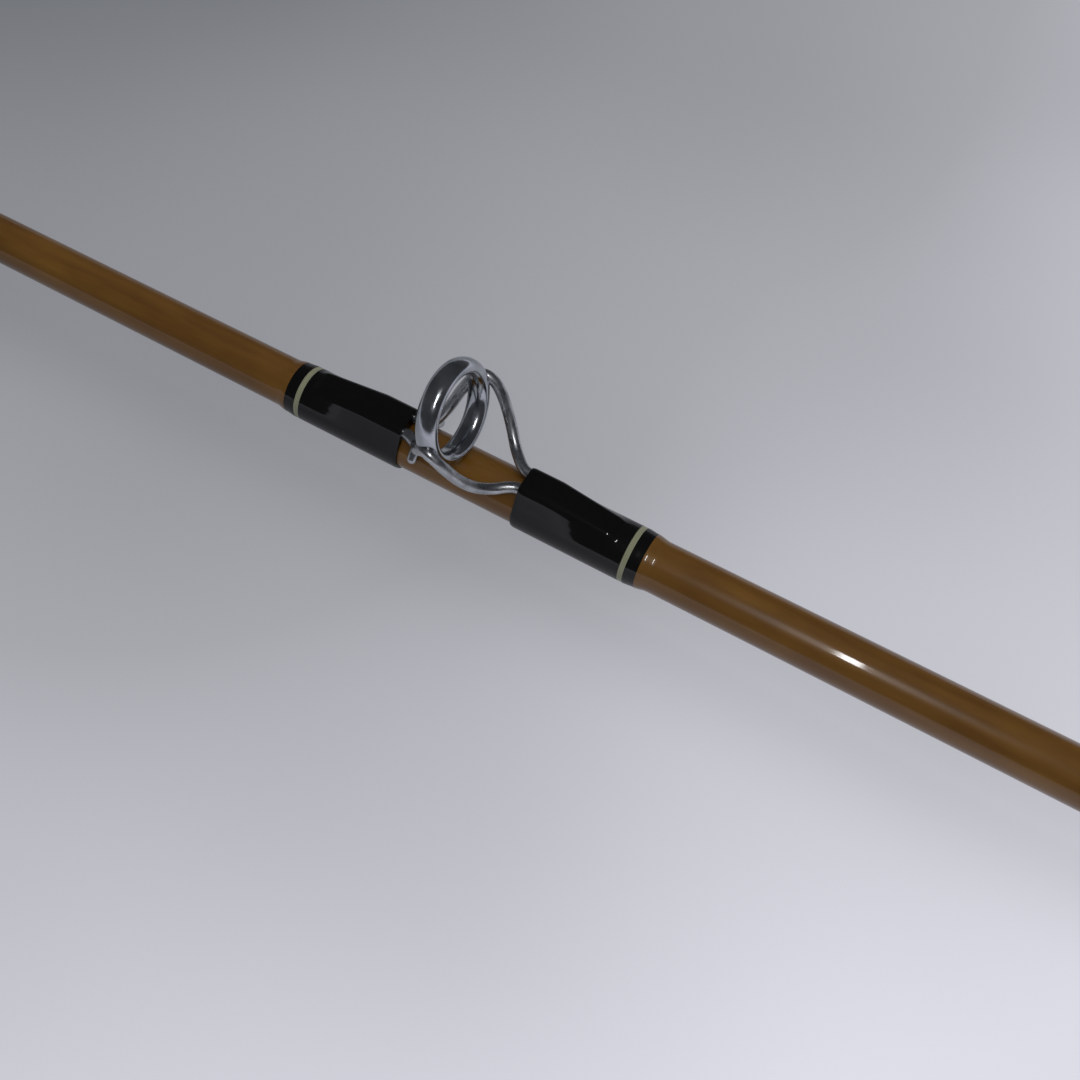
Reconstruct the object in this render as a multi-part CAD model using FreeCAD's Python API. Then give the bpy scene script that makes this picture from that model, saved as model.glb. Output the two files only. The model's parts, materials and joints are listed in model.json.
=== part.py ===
# Two-piece fibreglass boat rod, 1.83 m, with wire-framed guides and a star-drag reel.
# Millimetres. Origin: centre of the butt cap's end face. +X to the tip, +Z up (guides and
# reel on top), +Y to the angler's left. The reel's crank is on the right, at -Y.
import FreeCAD, Part
import math
import os

Vector = FreeCAD.Vector

# --- Blank and ferrule ---
rod_length = 1830.0
tip_radius = 1.2
blank_taper = 0.00287        # growth of the radius per mm towards the butt
blank_wall = 1.1
joint_x = 915.0              # where the two sections meet
joint_gap = 6.0              # wear allowance left between the two sections
spigot_radius = 2.6
spigot_in_butt = 50.0
spigot_in_tip = 62.0
ferrule_fit = 0.05           # radial running fit of the spigot in the tip section
tip_core_end = 1700.0        # the blank is solid beyond this
tip_core_radius = 0.5

# --- Handle ---
cap_radius = 16.0
cap_length = 28.0
cap_floor = 4.0
cap_edge = 3.0
grip_radius = 14.5
grip_tenon_radius = 13.2     # the reduced end of the rear grip inside the butt cap
rear_grip_end = 240.0
grip_edge = 2.0
seat_end = 372.0
seat_radius = 10.3
seat_wall = 1.8
thread_start = 329.0
thread_end = 368.0
thread_pitch = 2.0
thread_depth = 0.6
fore_grip_end = 500.0
fore_grip_front_radius = 9.5
check_length = 4.0
check_wall = 1.6

# --- Hoods and lock nut ---
foot_length = 64.0
foot_width = 14.5
foot_thickness = 2.5
foot_centre_x = 294.0
foot_in_hood = 10.0
hood_length = 24.0
hood_bore_fit = 0.06
hood_wall = 1.9
pocket_clearance = 0.35
nut_gap = 0.3
nut_length = 13.0
nut_wall = 3.2
nut_grooves = 20
nut_groove_radius = 0.8

# --- Thread wraps ---
wrap_build = 0.5             # thread and its clear coat, on the radius
wrap_end_build = 0.3
band_width = 1.0
band_inset = 2.6             # pale band's centre from the wrap's outer end
keeper_x = 545.0
keeper_wire = 0.6
keeper_height = 4.6
keeper_half_length = 5.0
ferrule_wrap_length = 24.0

# --- Guides: place, ring bore radius, half the ring's thickness, wire radius, ring height, size factor ---
guide_table = [
    (680.0, 6.5, 1.45, 1.0, 10.4, 1.00),
    (1010.0, 5.2, 1.25, 0.85, 8.6, 0.82),
    (1310.0, 4.4, 1.1, 0.75, 7.2, 0.70),
    (1530.0, 3.8, 0.95, 0.65, 6.2, 0.60),
    (1700.0, 3.3, 0.85, 0.55, 5.4, 0.52),
]
ring_lean = 0.20             # radians, the ring's top towards the tip
ring_band = 1.4              # the ring's width along the rod over its radial thickness
butt_leg_reach = 11.8        # from the ring's plane to where the butt-side leg meets the blank
tip_leg_reach = 9.8
butt_foot_end = 30.0
tip_foot_end = 27.5
butt_foot_half_gap = 1.6     # half the distance between the two feet of one side
tip_foot_half_gap = 1.8
butt_wrap_span = (13.1, 36.8)
tip_wrap_span = (9.7, 33.0)
saddle_reach = 6.5           # the cross wire under the tip-side legs
saddle_half_angle = 56.0
saddle_wire = 0.9
seat_gap = 0.02

# --- Tip top ---
tip_tube_length = 16.0
tip_tube_wall = 0.5
tip_ring_bore = 2.6
tip_ring_tube = 0.8
tip_ring_rise = 5.0
tip_brace_wire = 0.6

# --- Reel frame ---
stand_height = 4.0
ring_outer = 33.0
ring_bore = 28.6
ring_inner_face = 19.0       # distance of the ring's inner face from the middle
ring_thickness = 4.0
cross_plate_half_x = 12.0
cross_plate_thickness = 4.0
stand_half_x = 9.0
stand_half_y = 6.0
post_radius = 2.0
post_circle = 30.9
post_angles = [-58.0, -30.0, 20.0, 160.0, 210.0, 238.0]
bridge_thickness = 2.0
right_depth = 17.0
left_depth = 8.0
plate_wall = 2.0
plate_cavity = 28.5
plate_edge = 1.6
screw_radius = 1.0
screw_head_radius = 2.1
screw_head_height = 1.4
screw_slot = 0.6
screw_clearance = 0.1
screw_in_post = 5.0

# --- Spool ---
spool_flange_radius = 27.5
spool_half_width = 20.5
spool_flange = 1.8
spool_arbor = 11.0
shaft_radius = 2.5
journal_radius = 1.6
running_fit = 0.05
square_side = 3.2
bearing_outer = 6.0
bearing_width = 3.5
bearing_wall = 2.0

# --- Gear train ---
gear_module = 0.65
pinion_teeth = 12
drive_teeth = 36
tooth_share = 0.43           # tooth thickness as a share of the pitch
drive_width = 3.0
body_gap = 0.3               # between pieces that move past each other
sleeve_radius = 4.0
stud_radius = 2.4
washer_thickness = 0.7
washer_radius = 9.0
pinion_travel = 2.5

# --- Crank, star, lever, clicker ---
star_radius = 17.0
star_hub_radius = 7.0
star_thickness = 2.6
star_arms = 5
star_arm_half_width = 2.4
crank_throw = 38.0
crank_thickness = 2.5
crank_big_end = 6.5
crank_small_end = 4.6
nut_flats = 9.0
handle_nut_height = 3.5
spindle_radius = 2.0
knob_length = 22.0
knob_radius = 8.0
lever_angle = 115.0
lever_pivot_circle = 24.0
lever_arm = 19.0
lever_shaft = 1.9
yoke_thickness = 1.2
yoke_stud_radius = 1.2
yoke_stud_offset = 6.5
click_gear_radius = 6.0
click_teeth = 12
click_thickness = 1.2
click_travel = 4.0
click_head_radius = 3.4
cap_brim = 0.6               # how far a bearing cap covers the plate round its bearing
click_stem = 3.0

# --- Worked out from the above ---
foot_start_x = foot_centre_x - foot_length / 2
foot_end_x = foot_centre_x + foot_length / 2
axis_z = seat_radius + foot_thickness + stand_height + ring_outer
spool_axis = (foot_centre_x, axis_z)
pinion_pitch = gear_module * pinion_teeth / 2
drive_pitch = gear_module * drive_teeth / 2
gear_axis = (foot_centre_x, axis_z - pinion_pitch - drive_pitch)
ring_outer_face = ring_inner_face + ring_thickness
right_inner = ring_outer_face + bridge_thickness
right_face = right_inner + right_depth
left_face = ring_outer_face + left_depth
cavity_end = right_face - plate_wall
left_cavity_end = left_face - plate_wall
bearing_cap_radius = bearing_outer + bearing_wall + cap_brim
click_button_height = bearing_cap_radius + click_travel + click_head_radius + 1.5


def blank_radius(x):
    """Outside radius of the blank at x."""
    return tip_radius + (rod_length - x) * blank_taper


def blank_cone(start, end, grow=0.0):
    """The blank's own cone between two places, thickened by grow."""
    return Part.makeCone(blank_radius(start) + grow, blank_radius(end) + grow, end - start,
                         Vector(start, 0, 0), Vector(1, 0, 0))


def upright(shape):
    """A solid whose faces point outwards."""
    if shape.Volume < 0:
        shape.reverse()
    return shape


def turned_x(profile):
    """Turn a closed outline of (x, radius) points about the rod's axis."""
    points = [Vector(x, 0, radius) for x, radius in profile]
    face = Part.Face(Part.makePolygon(points + points[:1]))
    return upright(face.revolve(Vector(0, 0, 0), Vector(1, 0, 0), 360))


def turned_y(profile, axis):
    """Turn a closed outline of (radius, y) points about an axis along Y through (x, z)."""
    points = [Vector(axis[0] + radius, y, axis[1]) for radius, y in profile]
    face = Part.Face(Part.makePolygon(points + points[:1]))
    return upright(face.revolve(Vector(axis[0], 0, axis[1]), Vector(0, 1, 0), 360))


def rod_x(radius, start, end, y=0.0, z=0.0):
    """Round bar along X."""
    return Part.makeCylinder(radius, end - start, Vector(start, y, z), Vector(1, 0, 0))


def rod_y(radius, start, end, axis):
    """Round bar along Y about (x, z)."""
    return Part.makeCylinder(radius, end - start, Vector(axis[0], start, axis[1]), Vector(0, 1, 0))


def ring_y(outer, bore, start, end, axis):
    """Flat ring about an axis along Y."""
    return rod_y(outer, start, end, axis).cut(rod_y(bore, start - 1, end + 1, axis))


def block(x, y, z):
    """Box from three (low, high) pairs."""
    size = [pair[1] - pair[0] for pair in (x, y, z)]
    return Part.makeBox(size[0], size[1], size[2], Vector(x[0], y[0], z[0]))


def polar(axis, radius, degrees):
    """Point (x, z) at an angle from +X towards +Z about an axis."""
    angle = math.radians(degrees)
    return (axis[0] + radius * math.cos(angle), axis[1] + radius * math.sin(angle))


def mirrored(shape):
    """The same shape on the other side of the rod."""
    return shape.mirror(Vector(0, 0, 0), Vector(0, 1, 0))


def export(name, shapes):
    """Write one sub-part, a list of solids that may not touch, as a STEP file."""
    solids = []
    for shape in shapes:
        solids.extend(shape.Solids)
    Part.makeCompound(solids).exportStep("parts/" + name + ".step")


# --- Bent wire: straight runs joined by tangent arcs ---

def bent_path(points, bend):
    """A wire through points, each corner rounded to the radius bend or as near as its runs allow."""
    edges = []
    start = points[0]
    for index in range(1, len(points) - 1):
        corner = points[index]
        back = (points[index - 1] - corner)
        ahead = (points[index + 1] - corner)
        room = 0.48 * min(back.Length, ahead.Length)
        back.normalize()
        ahead.normalize()
        half = back.getAngle(ahead) / 2
        reach = min(bend / math.tan(half), room)
        radius = reach * math.tan(half)
        middle = back + ahead
        middle.normalize()
        arc_middle = corner + middle * (radius / math.sin(half) - radius)
        arc_start = corner + back * reach
        arc_end = corner + ahead * reach
        edges.append(Part.makeLine(start, arc_start))
        edges.append(Part.Arc(arc_start, arc_middle, arc_end).toShape())
        start = arc_end
    edges.append(Part.makeLine(start, points[-1]))
    return Part.Wire(edges)


def wire_along(points, radius, bend):
    """Round wire of the given radius along a bent path."""
    direction = points[1] - points[0]
    outline = Part.Wire(Part.makeCircle(radius, points[0], direction))
    return upright(bent_path(points, bend).makePipeShell([outline], True, False))


# --- Blank ---

def butt_blank():
    core_end = joint_x - joint_gap / 2
    outer = blank_cone(cap_floor, core_end)
    core_start_radius = blank_radius(cap_floor) - blank_wall
    taper_end = core_end - spigot_in_butt
    core = Part.makeCone(core_start_radius, spigot_radius, taper_end - cap_floor,
                         Vector(cap_floor, 0, 0), Vector(1, 0, 0))
    socket = rod_x(spigot_radius, taper_end, core_end)
    return outer.cut(core).cut(socket)


def ferrule_spigot():
    start = joint_x - joint_gap / 2 - spigot_in_butt
    end = joint_x + joint_gap / 2 + spigot_in_tip
    edge = 0.5
    return turned_x([(start, 0), (start, spigot_radius), (end - edge, spigot_radius),
                     (end, spigot_radius - edge), (end, 0)])


def tip_blank():
    start = joint_x + joint_gap / 2
    outer = blank_cone(start, rod_length)
    socket_end = start + spigot_in_tip + 2
    socket = rod_x(spigot_radius + ferrule_fit, start, socket_end)
    core = Part.makeCone(spigot_radius + ferrule_fit, tip_core_radius, tip_core_end - socket_end,
                         Vector(socket_end, 0, 0), Vector(1, 0, 0))
    return outer.cut(socket).cut(core)


# --- Handle ---

def butt_cap():
    outside = turned_x([(0, 0), (0, cap_radius - cap_edge), (cap_edge, cap_radius),
                        (cap_length - 1, cap_radius), (cap_length, cap_radius - 1), (cap_length, 0)])
    return outside.cut(rod_x(grip_tenon_radius, cap_floor, cap_length + 1))


def rear_grip():
    outside = turned_x([(cap_floor, 0), (cap_floor, grip_tenon_radius),
                        (cap_length, grip_tenon_radius), (cap_length, grip_radius),
                        (rear_grip_end - grip_edge, grip_radius),
                        (rear_grip_end, grip_radius - grip_edge), (rear_grip_end, 0)])
    return outside.cut(blank_cone(cap_floor, rear_grip_end))


def seat_arbor():
    outside = rod_x(seat_radius - seat_wall, rear_grip_end, seat_end)
    return outside.cut(blank_cone(rear_grip_end, seat_end))


def reel_seat():
    inner = seat_radius - seat_wall
    outline = [(rear_grip_end, inner), (rear_grip_end, seat_radius), (thread_start, seat_radius)]
    turns = int((thread_end - thread_start) / thread_pitch)
    for turn in range(turns):
        x = thread_start + turn * thread_pitch
        outline.append((x + 0.25 * thread_pitch, seat_radius))
        outline.append((x + 0.5 * thread_pitch, seat_radius - thread_depth))
        outline.append((x + 0.75 * thread_pitch, seat_radius))
    outline.extend([(seat_end, seat_radius), (seat_end, inner)])
    return turned_x(outline)


def hood_blank(start, end):
    """Sleeve round the seat, thicker on top where it covers the reel's foot."""
    top = seat_radius + foot_thickness + pocket_clearance + hood_wall
    bottom = seat_radius + hood_wall
    radius = (top + bottom) / 2
    return rod_x(radius, start, end, 0, (top - bottom) / 2)


def hood_pocket(start, end):
    """Room for the foot's end under a hood."""
    outer = seat_radius + foot_thickness + pocket_clearance
    half = foot_width / 2 + pocket_clearance
    return rod_x(outer, start, end).common(block((start, end), (-half, half), (0, outer + 1)))


def fixed_hood():
    start = foot_start_x + foot_in_hood - hood_length
    end = foot_start_x + foot_in_hood
    sleeve = hood_blank(start, end).cut(rod_x(seat_radius, start - 1, end + 1))
    return sleeve.cut(hood_pocket(foot_start_x - pocket_clearance, end + 1))


def sliding_hood():
    start = foot_end_x - foot_in_hood
    end = start + hood_length
    sleeve = hood_blank(start, end).cut(rod_x(seat_radius + hood_bore_fit, start - 1, end + 1))
    return sleeve.cut(hood_pocket(start - 1, foot_end_x + 2 * pocket_clearance))


def lock_nut():
    start = foot_end_x - foot_in_hood + hood_length + nut_gap
    end = start + nut_length
    outer = seat_radius + nut_wall
    edge = 1.0
    bore = seat_radius + hood_bore_fit
    nut = turned_x([(start, bore), (start, outer - edge), (start + edge, outer), (end - edge, outer),
                    (end, outer - edge), (end, bore)])
    for index in range(nut_grooves):
        angle = 2 * math.pi * index / nut_grooves
        nut = nut.cut(rod_x(nut_groove_radius, start - 1, end + 1, outer * math.cos(angle),
                            outer * math.sin(angle)))
    return nut


def fore_grip():
    rear = grip_radius - 1
    outside = turned_x([(seat_end, 0), (seat_end, rear - grip_edge), (seat_end + grip_edge, rear),
                        (seat_end + 0.45 * (fore_grip_end - seat_end), rear),
                        (fore_grip_end - grip_edge, fore_grip_front_radius + 0.6),
                        (fore_grip_end, fore_grip_front_radius), (fore_grip_end, 0)])
    return outside.cut(blank_cone(seat_end, fore_grip_end))


def winding_check():
    end = fore_grip_end + check_length
    radius = blank_radius(fore_grip_end)
    outside = turned_x([(fore_grip_end, 0), (fore_grip_end, radius + check_wall + 1),
                        (fore_grip_end + 1, radius + check_wall + 1), (end, radius + check_wall / 2),
                        (end, 0)])
    return outside.cut(blank_cone(fore_grip_end, end))


def hook_keeper():
    base = blank_radius(keeper_x - 2 * keeper_half_length) + keeper_wire + seat_gap
    top = base + keeper_height
    near = keeper_half_length
    points = [Vector(keeper_x - 2 * near, 0, -base), Vector(keeper_x - 0.8 * near, 0, -base),
              Vector(keeper_x - 0.5 * near, 0, -top), Vector(keeper_x + 0.5 * near, 0, -top),
              Vector(keeper_x + 0.8 * near, 0, -base), Vector(keeper_x + 2 * near, 0, -base)]
    return wire_along(points, keeper_wire, 1.2)


# --- Thread wraps ---

def plain_wrap(start, end, cover=0.0):
    """Thread wound on the bare blank, with rounded shoulders."""
    edge = 1.0
    build = wrap_build + cover
    outside = turned_x([(start, 0), (start, blank_radius(start) + wrap_end_build),
                        (start + edge, blank_radius(start) + build),
                        (end - edge, blank_radius(end) + build),
                        (end, blank_radius(end) + wrap_end_build), (end, 0)])
    return outside.cut(blank_cone(start, end))


def keeper_wraps():
    """The two windings that hold the hook keeper's feet."""
    cover = 2 * keeper_wire
    near = keeper_half_length
    wraps = []
    for start, end in ((-2 * near - 2, -near), (near, 2 * near + 2)):
        wrap = plain_wrap(keeper_x + start, keeper_x + end, cover)
        wraps.append(wrap.cut(hook_keeper()))
    return wraps


def split_band(wrap, centre):
    """Cut a wrap at its pale band: what stays, and the band."""
    reach = 2 * cap_radius
    slab = block((centre - band_width / 2, centre + band_width / 2), (-reach, reach), (-reach, reach))
    return wrap.cut(slab), wrap.common(slab)


def hull_outline(x, core, foot_gap, foot_z, foot_radius):
    """Outline of thread pulled tight over the blank and two feet, in the plane at x."""
    circles = [(0.0, 0.0, core), (foot_gap, foot_z, foot_radius), (-foot_gap, foot_z, foot_radius)]
    count = 48
    points = []
    for index in range(count):
        angle = 2 * math.pi * index / count
        y, z = math.cos(angle), math.sin(angle)
        reach = core
        for step in range(-30, 31):
            tilt = angle + math.radians(2 * step)
            support = max(c[0] * math.cos(tilt) + c[1] * math.sin(tilt) + c[2] for c in circles)
            reach_here = support / math.cos(tilt - angle)
            if step == -30 or reach_here < reach:
                reach = reach_here
        points.append(Vector(x, reach * y, reach * z))
    curve = Part.BSplineCurve()
    curve.interpolate(points, PeriodicFlag=True)
    return Part.Wire(curve.toShape())


def guide_wrap(place, direction, span, foot_end, foot_gap, foot_z, wire):
    """One winding over a pair of feet; direction is -1 on the butt side and +1 on the tip side."""
    inner, outer = span
    stations = [(outer, 0.0, wrap_end_build), (outer - 1.0, 0.0, wrap_build),
                (foot_end + 1.0, 0.0, wrap_build), (0.35 * foot_end + 0.65 * inner, 1.0, wrap_build),
                (inner, 1.0, wrap_build)]
    outlines = []
    for reach, cover, build in stations:
        x = place + direction * reach
        core = blank_radius(x) + build
        foot_core = wire + build
        lift = foot_z - (1 - cover) * (foot_z - core + foot_core)
        outlines.append(hull_outline(x, core, foot_gap, lift, foot_core))
    first = Part.makeLoft(outlines[:3], True, True)
    second = Part.makeLoft(outlines[2:], True, True)
    ends = sorted([place + direction * inner, place + direction * outer])
    cone = blank_cone(ends[0] - 1, ends[1] + 1)
    return upright(first).fuse(upright(second)).cut(cone)


# --- Guides ---

def foot_height(place, reach, gap, wire):
    """Height at which a foot rests on the blank at its thickest."""
    radius = max(blank_radius(place), blank_radius(place + reach)) + wire + seat_gap
    return math.sqrt(radius * radius - gap * gap)


def oval_ring(centre, radius, tube, lean):
    """Ring whose section is an oval, wider along the ring's axis than it is thick."""
    middle = centre + Vector(0, radius, 0)
    axis = Vector(math.cos(lean), 0, -math.sin(lean))
    oval = Part.Ellipse(middle + axis * ring_band * tube, middle + Vector(0, tube, 0), middle)
    section = Part.Face(Part.Wire(oval.toShape()))
    return upright(section.revolve(centre, axis, 360))


def guide_parts(place, bore, tube, wire, height, factor):
    """Frame wires, ring and wraps of one guide."""
    ring_radius = bore + tube
    centre_z = blank_radius(place) + height
    tip_gap = max(tip_foot_half_gap * factor, 1.1 * wire)
    butt_gap = max(butt_foot_half_gap * factor, 1.1 * wire)
    tip_z = foot_height(place, 0, tip_gap, wire)
    butt_z = foot_height(place, -butt_foot_end * factor, butt_gap, wire)
    side = ring_radius + 0.93 * tube
    ring = oval_ring(Vector(place + 1.1 * factor, 0, centre_z), ring_radius, tube, ring_lean)

    def point(reach, out, up, gap, foot_z):
        return Vector(place - reach * factor, gap + out * (side - gap), foot_z + up * (centre_z - foot_z))

    butt_leg = [point(butt_foot_end, 0, 0, butt_gap, butt_z),
                point(1.06 * butt_leg_reach, 0, 0, butt_gap, butt_z),
                point(0.66 * butt_leg_reach, 0.5, 0.03, butt_gap, butt_z),
                point(0.26 * butt_leg_reach, 1.0, 0.74, butt_gap, butt_z)]
    apex = [point(-0.3, 1.04, 1.08, butt_gap, butt_z)]
    tip_leg = [point(-0.30 * tip_leg_reach, 0.90, 0.84, tip_gap, tip_z),
               point(-0.60 * tip_leg_reach, 0.26, 0.02, tip_gap, tip_z),
               point(-tip_leg_reach, 0, 0, tip_gap, tip_z),
               point(-tip_foot_end, 0, 0, tip_gap, tip_z)]
    left = wire_along(butt_leg + apex + tip_leg, wire, 5.0 * factor)
    wires = [left.cut(ring), mirrored(left).cut(ring)]
    wraps = []
    bands = []
    for direction, span, end, gap, foot_z in (
            (-1, butt_wrap_span, butt_foot_end, butt_gap, butt_z),
            (1, tip_wrap_span, tip_foot_end, tip_gap, tip_z)):
        scaled = [reach * factor for reach in span]
        wrap = guide_wrap(place, direction, scaled, end * factor, gap, foot_z, wire)
        wrap = wrap.cut(left).cut(mirrored(left))
        kept, band = split_band(wrap, place + direction * (scaled[1] - band_inset))
        wraps.append(kept)
        bands.append(band)
    return wires, ring, wraps, bands


def saddle(wires):
    """Cross wire that hugs the blank under the tip-side legs of the first guide, brazed to them."""
    place, wire = guide_table[0][0], saddle_wire
    x = place + saddle_reach
    radius = blank_radius(place) + wire + seat_gap
    bar = Part.makeTorus(radius, wire, Vector(x, 0, 0), Vector(1, 0, 0))
    reach = 2 * radius
    low = -reach * math.tan(math.radians(90 - saddle_half_angle))
    wedge = Part.Face(Part.makePolygon([
        Vector(x - wire - 1, 0, 0), Vector(x - wire - 1, -reach, -low), Vector(x - wire - 1, -reach, reach),
        Vector(x - wire - 1, reach, reach), Vector(x - wire - 1, reach, -low), Vector(x - wire - 1, 0, 0)]))
    bar = bar.common(wedge.extrude(Vector(2 * wire + 2, 0, 0)))
    angle = math.radians(saddle_half_angle)
    for side in (-1, 1):
        end = Vector(x, side * radius * math.sin(angle), radius * math.cos(angle))
        bar = bar.fuse(Part.makeSphere(wire, end))
    for side_wire in wires:
        bar = bar.cut(side_wire)
    return bar


def tip_top():
    """Tube, ring and two braces at the tip."""
    start = rod_length - tip_tube_length
    inner = blank_radius(start)
    tube = turned_x([(start, inner), (start, inner + tip_tube_wall),
                     (rod_length + 1, inner + tip_tube_wall), (rod_length + 1, 0), (rod_length, 0),
                     (rod_length, inner)])
    ring_radius = tip_ring_bore + tip_ring_tube
    centre = Vector(rod_length + 1.5, 0, tip_ring_rise)
    lean = Vector(math.cos(0.35), 0, math.sin(0.35))
    ring = Part.makeTorus(ring_radius, tip_ring_tube, centre, lean)
    foot = inner + tip_tube_wall + tip_brace_wire
    points = [Vector(start + 1, 0.9, foot), Vector(start + 8, 0.9, foot),
              Vector(rod_length - 2, 0.9 * ring_radius, 0.85 * tip_ring_rise),
              Vector(rod_length + 1.5, ring_radius + tip_ring_tube, tip_ring_rise)]
    brace = wire_along(points, tip_brace_wire, 3.0).cut(ring).cut(tube)
    return tube.cut(ring), ring, [brace, mirrored(brace)]


# --- Reel frame ---

def reel_foot():
    outer = seat_radius + foot_thickness
    half = foot_width / 2
    blade = rod_x(outer, foot_start_x, foot_end_x).common(
        block((foot_start_x, foot_end_x), (-half, half), (0, outer)))
    stand = block((foot_centre_x - stand_half_x, foot_centre_x + stand_half_x),
                  (-stand_half_y, stand_half_y), (seat_radius, outer + stand_height + 1))
    base = outer + stand_height
    plate = block((foot_centre_x - cross_plate_half_x, foot_centre_x + cross_plate_half_x),
                  (-ring_inner_face, ring_inner_face), (base, base + cross_plate_thickness))
    return blade.fuse(stand).fuse(plate).cut(rod_x(seat_radius, foot_start_x - 1, foot_end_x + 1))


def screw_places():
    return [polar(spool_axis, post_circle, angle) for angle in post_angles]


def drill(shape, start, end, radius):
    """Screw holes through a ring or plate."""
    for place in screw_places():
        shape = shape.cut(rod_y(radius, start, end, place))
    return shape


def frame_ring(side):
    start, end = sorted([side * ring_inner_face, side * ring_outer_face])
    ring = ring_y(ring_outer, ring_bore, start, end, spool_axis)
    return drill(ring, start - 1, end + 1, screw_radius + screw_clearance)


def frame_posts():
    posts = []
    for place in screw_places():
        post = rod_y(post_radius, -ring_inner_face, ring_inner_face, place)
        post = post.cut(rod_y(screw_radius, -ring_inner_face - 1, -ring_inner_face + screw_in_post, place))
        post = post.cut(rod_y(screw_radius, ring_inner_face - screw_in_post, ring_inner_face + 1, place))
        posts.append(post)
    return posts


def plate_screws():
    screws = []
    slot_reach = screw_head_radius + 1
    for place in screw_places():
        for side, face in ((-1, right_face), (1, left_face)):
            inner = side * (ring_inner_face - screw_in_post)
            outer = side * face
            top = side * (face + screw_head_height)
            shank = rod_y(screw_radius, min(inner, outer), max(inner, outer), place)
            head = rod_y(screw_head_radius, min(outer, top), max(outer, top), place)
            cut = sorted([top - side * screw_slot, top + side])
            slot = block((place[0] - slot_reach, place[0] + slot_reach), cut,
                         (place[1] - screw_slot / 2, place[1] + screw_slot / 2))
            screws.append(shank.fuse(head).cut(slot))
    return screws


def bridge_plate():
    """Inner wall of the gear side, with the bearing hub, the gear stud and the yoke's studs."""
    start, end = -right_inner, -ring_outer_face
    plate = rod_y(ring_outer, start, end, spool_axis)
    hub = rod_y(bearing_outer + bearing_wall, start, -ring_outer_face + 1, spool_axis)
    stud = rod_y(stud_radius, -cavity_end + body_gap, start, gear_axis)
    plate = plate.fuse(hub).fuse(stud)
    for place in yoke_stud_places():
        plate = plate.fuse(rod_y(yoke_stud_radius, start - 9.5, start, place))
    plate = plate.cut(rod_y(bearing_outer, start + 0.5, end + 2, spool_axis))
    plate = plate.cut(rod_y(shaft_radius + 1, start - 1, end + 2, spool_axis))
    return drill(plate, start - 1, end + 1, screw_radius + screw_clearance)


def right_plate():
    inner = right_inner
    shell = turned_y([(0, -right_face), (ring_outer - plate_edge, -right_face),
                      (ring_outer, -right_face + plate_edge), (ring_outer, -inner), (0, -inner)],
                     spool_axis)
    shell = shell.cut(rod_y(plate_cavity, -cavity_end, -inner + 1, spool_axis))
    shell = shell.cut(rod_y(sleeve_radius + body_gap, -right_face - 1, -inner, gear_axis))
    shell = shell.cut(rod_y(journal_radius + running_fit, -right_face - 1, -inner, spool_axis))
    shell = shell.cut(rod_y(lever_shaft + running_fit, -right_face - 1, -inner, lever_axis()))
    return drill(shell, -right_face - 1, -inner + 1, screw_radius + screw_clearance)


def left_plate():
    shell = turned_y([(0, ring_outer_face), (ring_outer, ring_outer_face),
                      (ring_outer, left_face - plate_edge), (ring_outer - plate_edge, left_face),
                      (0, left_face)], spool_axis)
    shell = shell.cut(rod_y(plate_cavity, ring_outer_face - 1, left_cavity_end, spool_axis))
    boss = rod_y(bearing_outer + bearing_wall, left_cavity_end - bearing_width, left_cavity_end + 0.5,
                 spool_axis)
    shell = shell.fuse(boss)
    shell = shell.cut(rod_y(bearing_outer, left_cavity_end - bearing_width - 1, left_cavity_end, spool_axis))
    shell = shell.cut(rod_y(shaft_radius + 1, ring_outer_face, left_face + 1, spool_axis))
    gap = click_stem / 2 + body_gap
    z = axis_z + click_button_height
    slot = block((foot_centre_x - gap, foot_centre_x + gap), (left_cavity_end - 1, left_face + 1),
                 (z - click_travel - gap, z + gap))
    return drill(shell.cut(slot), ring_outer_face - 1, left_face + 1, screw_radius + screw_clearance)


def bearing_cap(side, face, height):
    start, end = side * face, side * (face + height)
    radius = bearing_cap_radius
    return turned_y([(0, start), (radius, start), (radius - 0.3, end - side * 0.5), (radius - 0.8, end),
                     (0, end)], spool_axis)


# --- Spool ---

def spool():
    half = spool_half_width
    rim = spool_flange_radius
    inner = half - spool_flange
    bore = shaft_radius
    return turned_y([(bore, -half), (rim - 0.5, -half), (rim, -half + 0.5), (rim, -inner),
                     (rim - 1.5, -inner), (spool_arbor + 1, -inner + 1.2), (spool_arbor, -inner + 3),
                     (spool_arbor, inner - 3), (spool_arbor + 1, inner - 1.2), (rim - 1.5, inner),
                     (rim, inner), (rim, half - 0.5), (rim - 0.5, half), (bore, half)], spool_axis)


def spool_shaft():
    square_end = right_inner + 5.0
    left_end = left_face - 1.0
    shaft = rod_y(shaft_radius, -right_inner - 2.2, left_end, spool_axis)
    half = square_side / 2
    square = block((spool_axis[0] - half, spool_axis[0] + half), (-square_end, -right_inner - 2.0),
                   (spool_axis[1] - half, spool_axis[1] + half))
    journal = rod_y(journal_radius, -right_face + 0.5, -square_end + 0.5, spool_axis)
    return shaft.fuse(square).fuse(journal)


def spool_bearings():
    bore = shaft_radius + running_fit
    right_end = -right_inner + 0.5
    right = ring_y(bearing_outer, bore, right_end, right_end + bearing_width, spool_axis)
    left = ring_y(bearing_outer, bore, left_cavity_end - bearing_width, left_cavity_end, spool_axis)
    return [right, left]


# --- Gears ---

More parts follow.
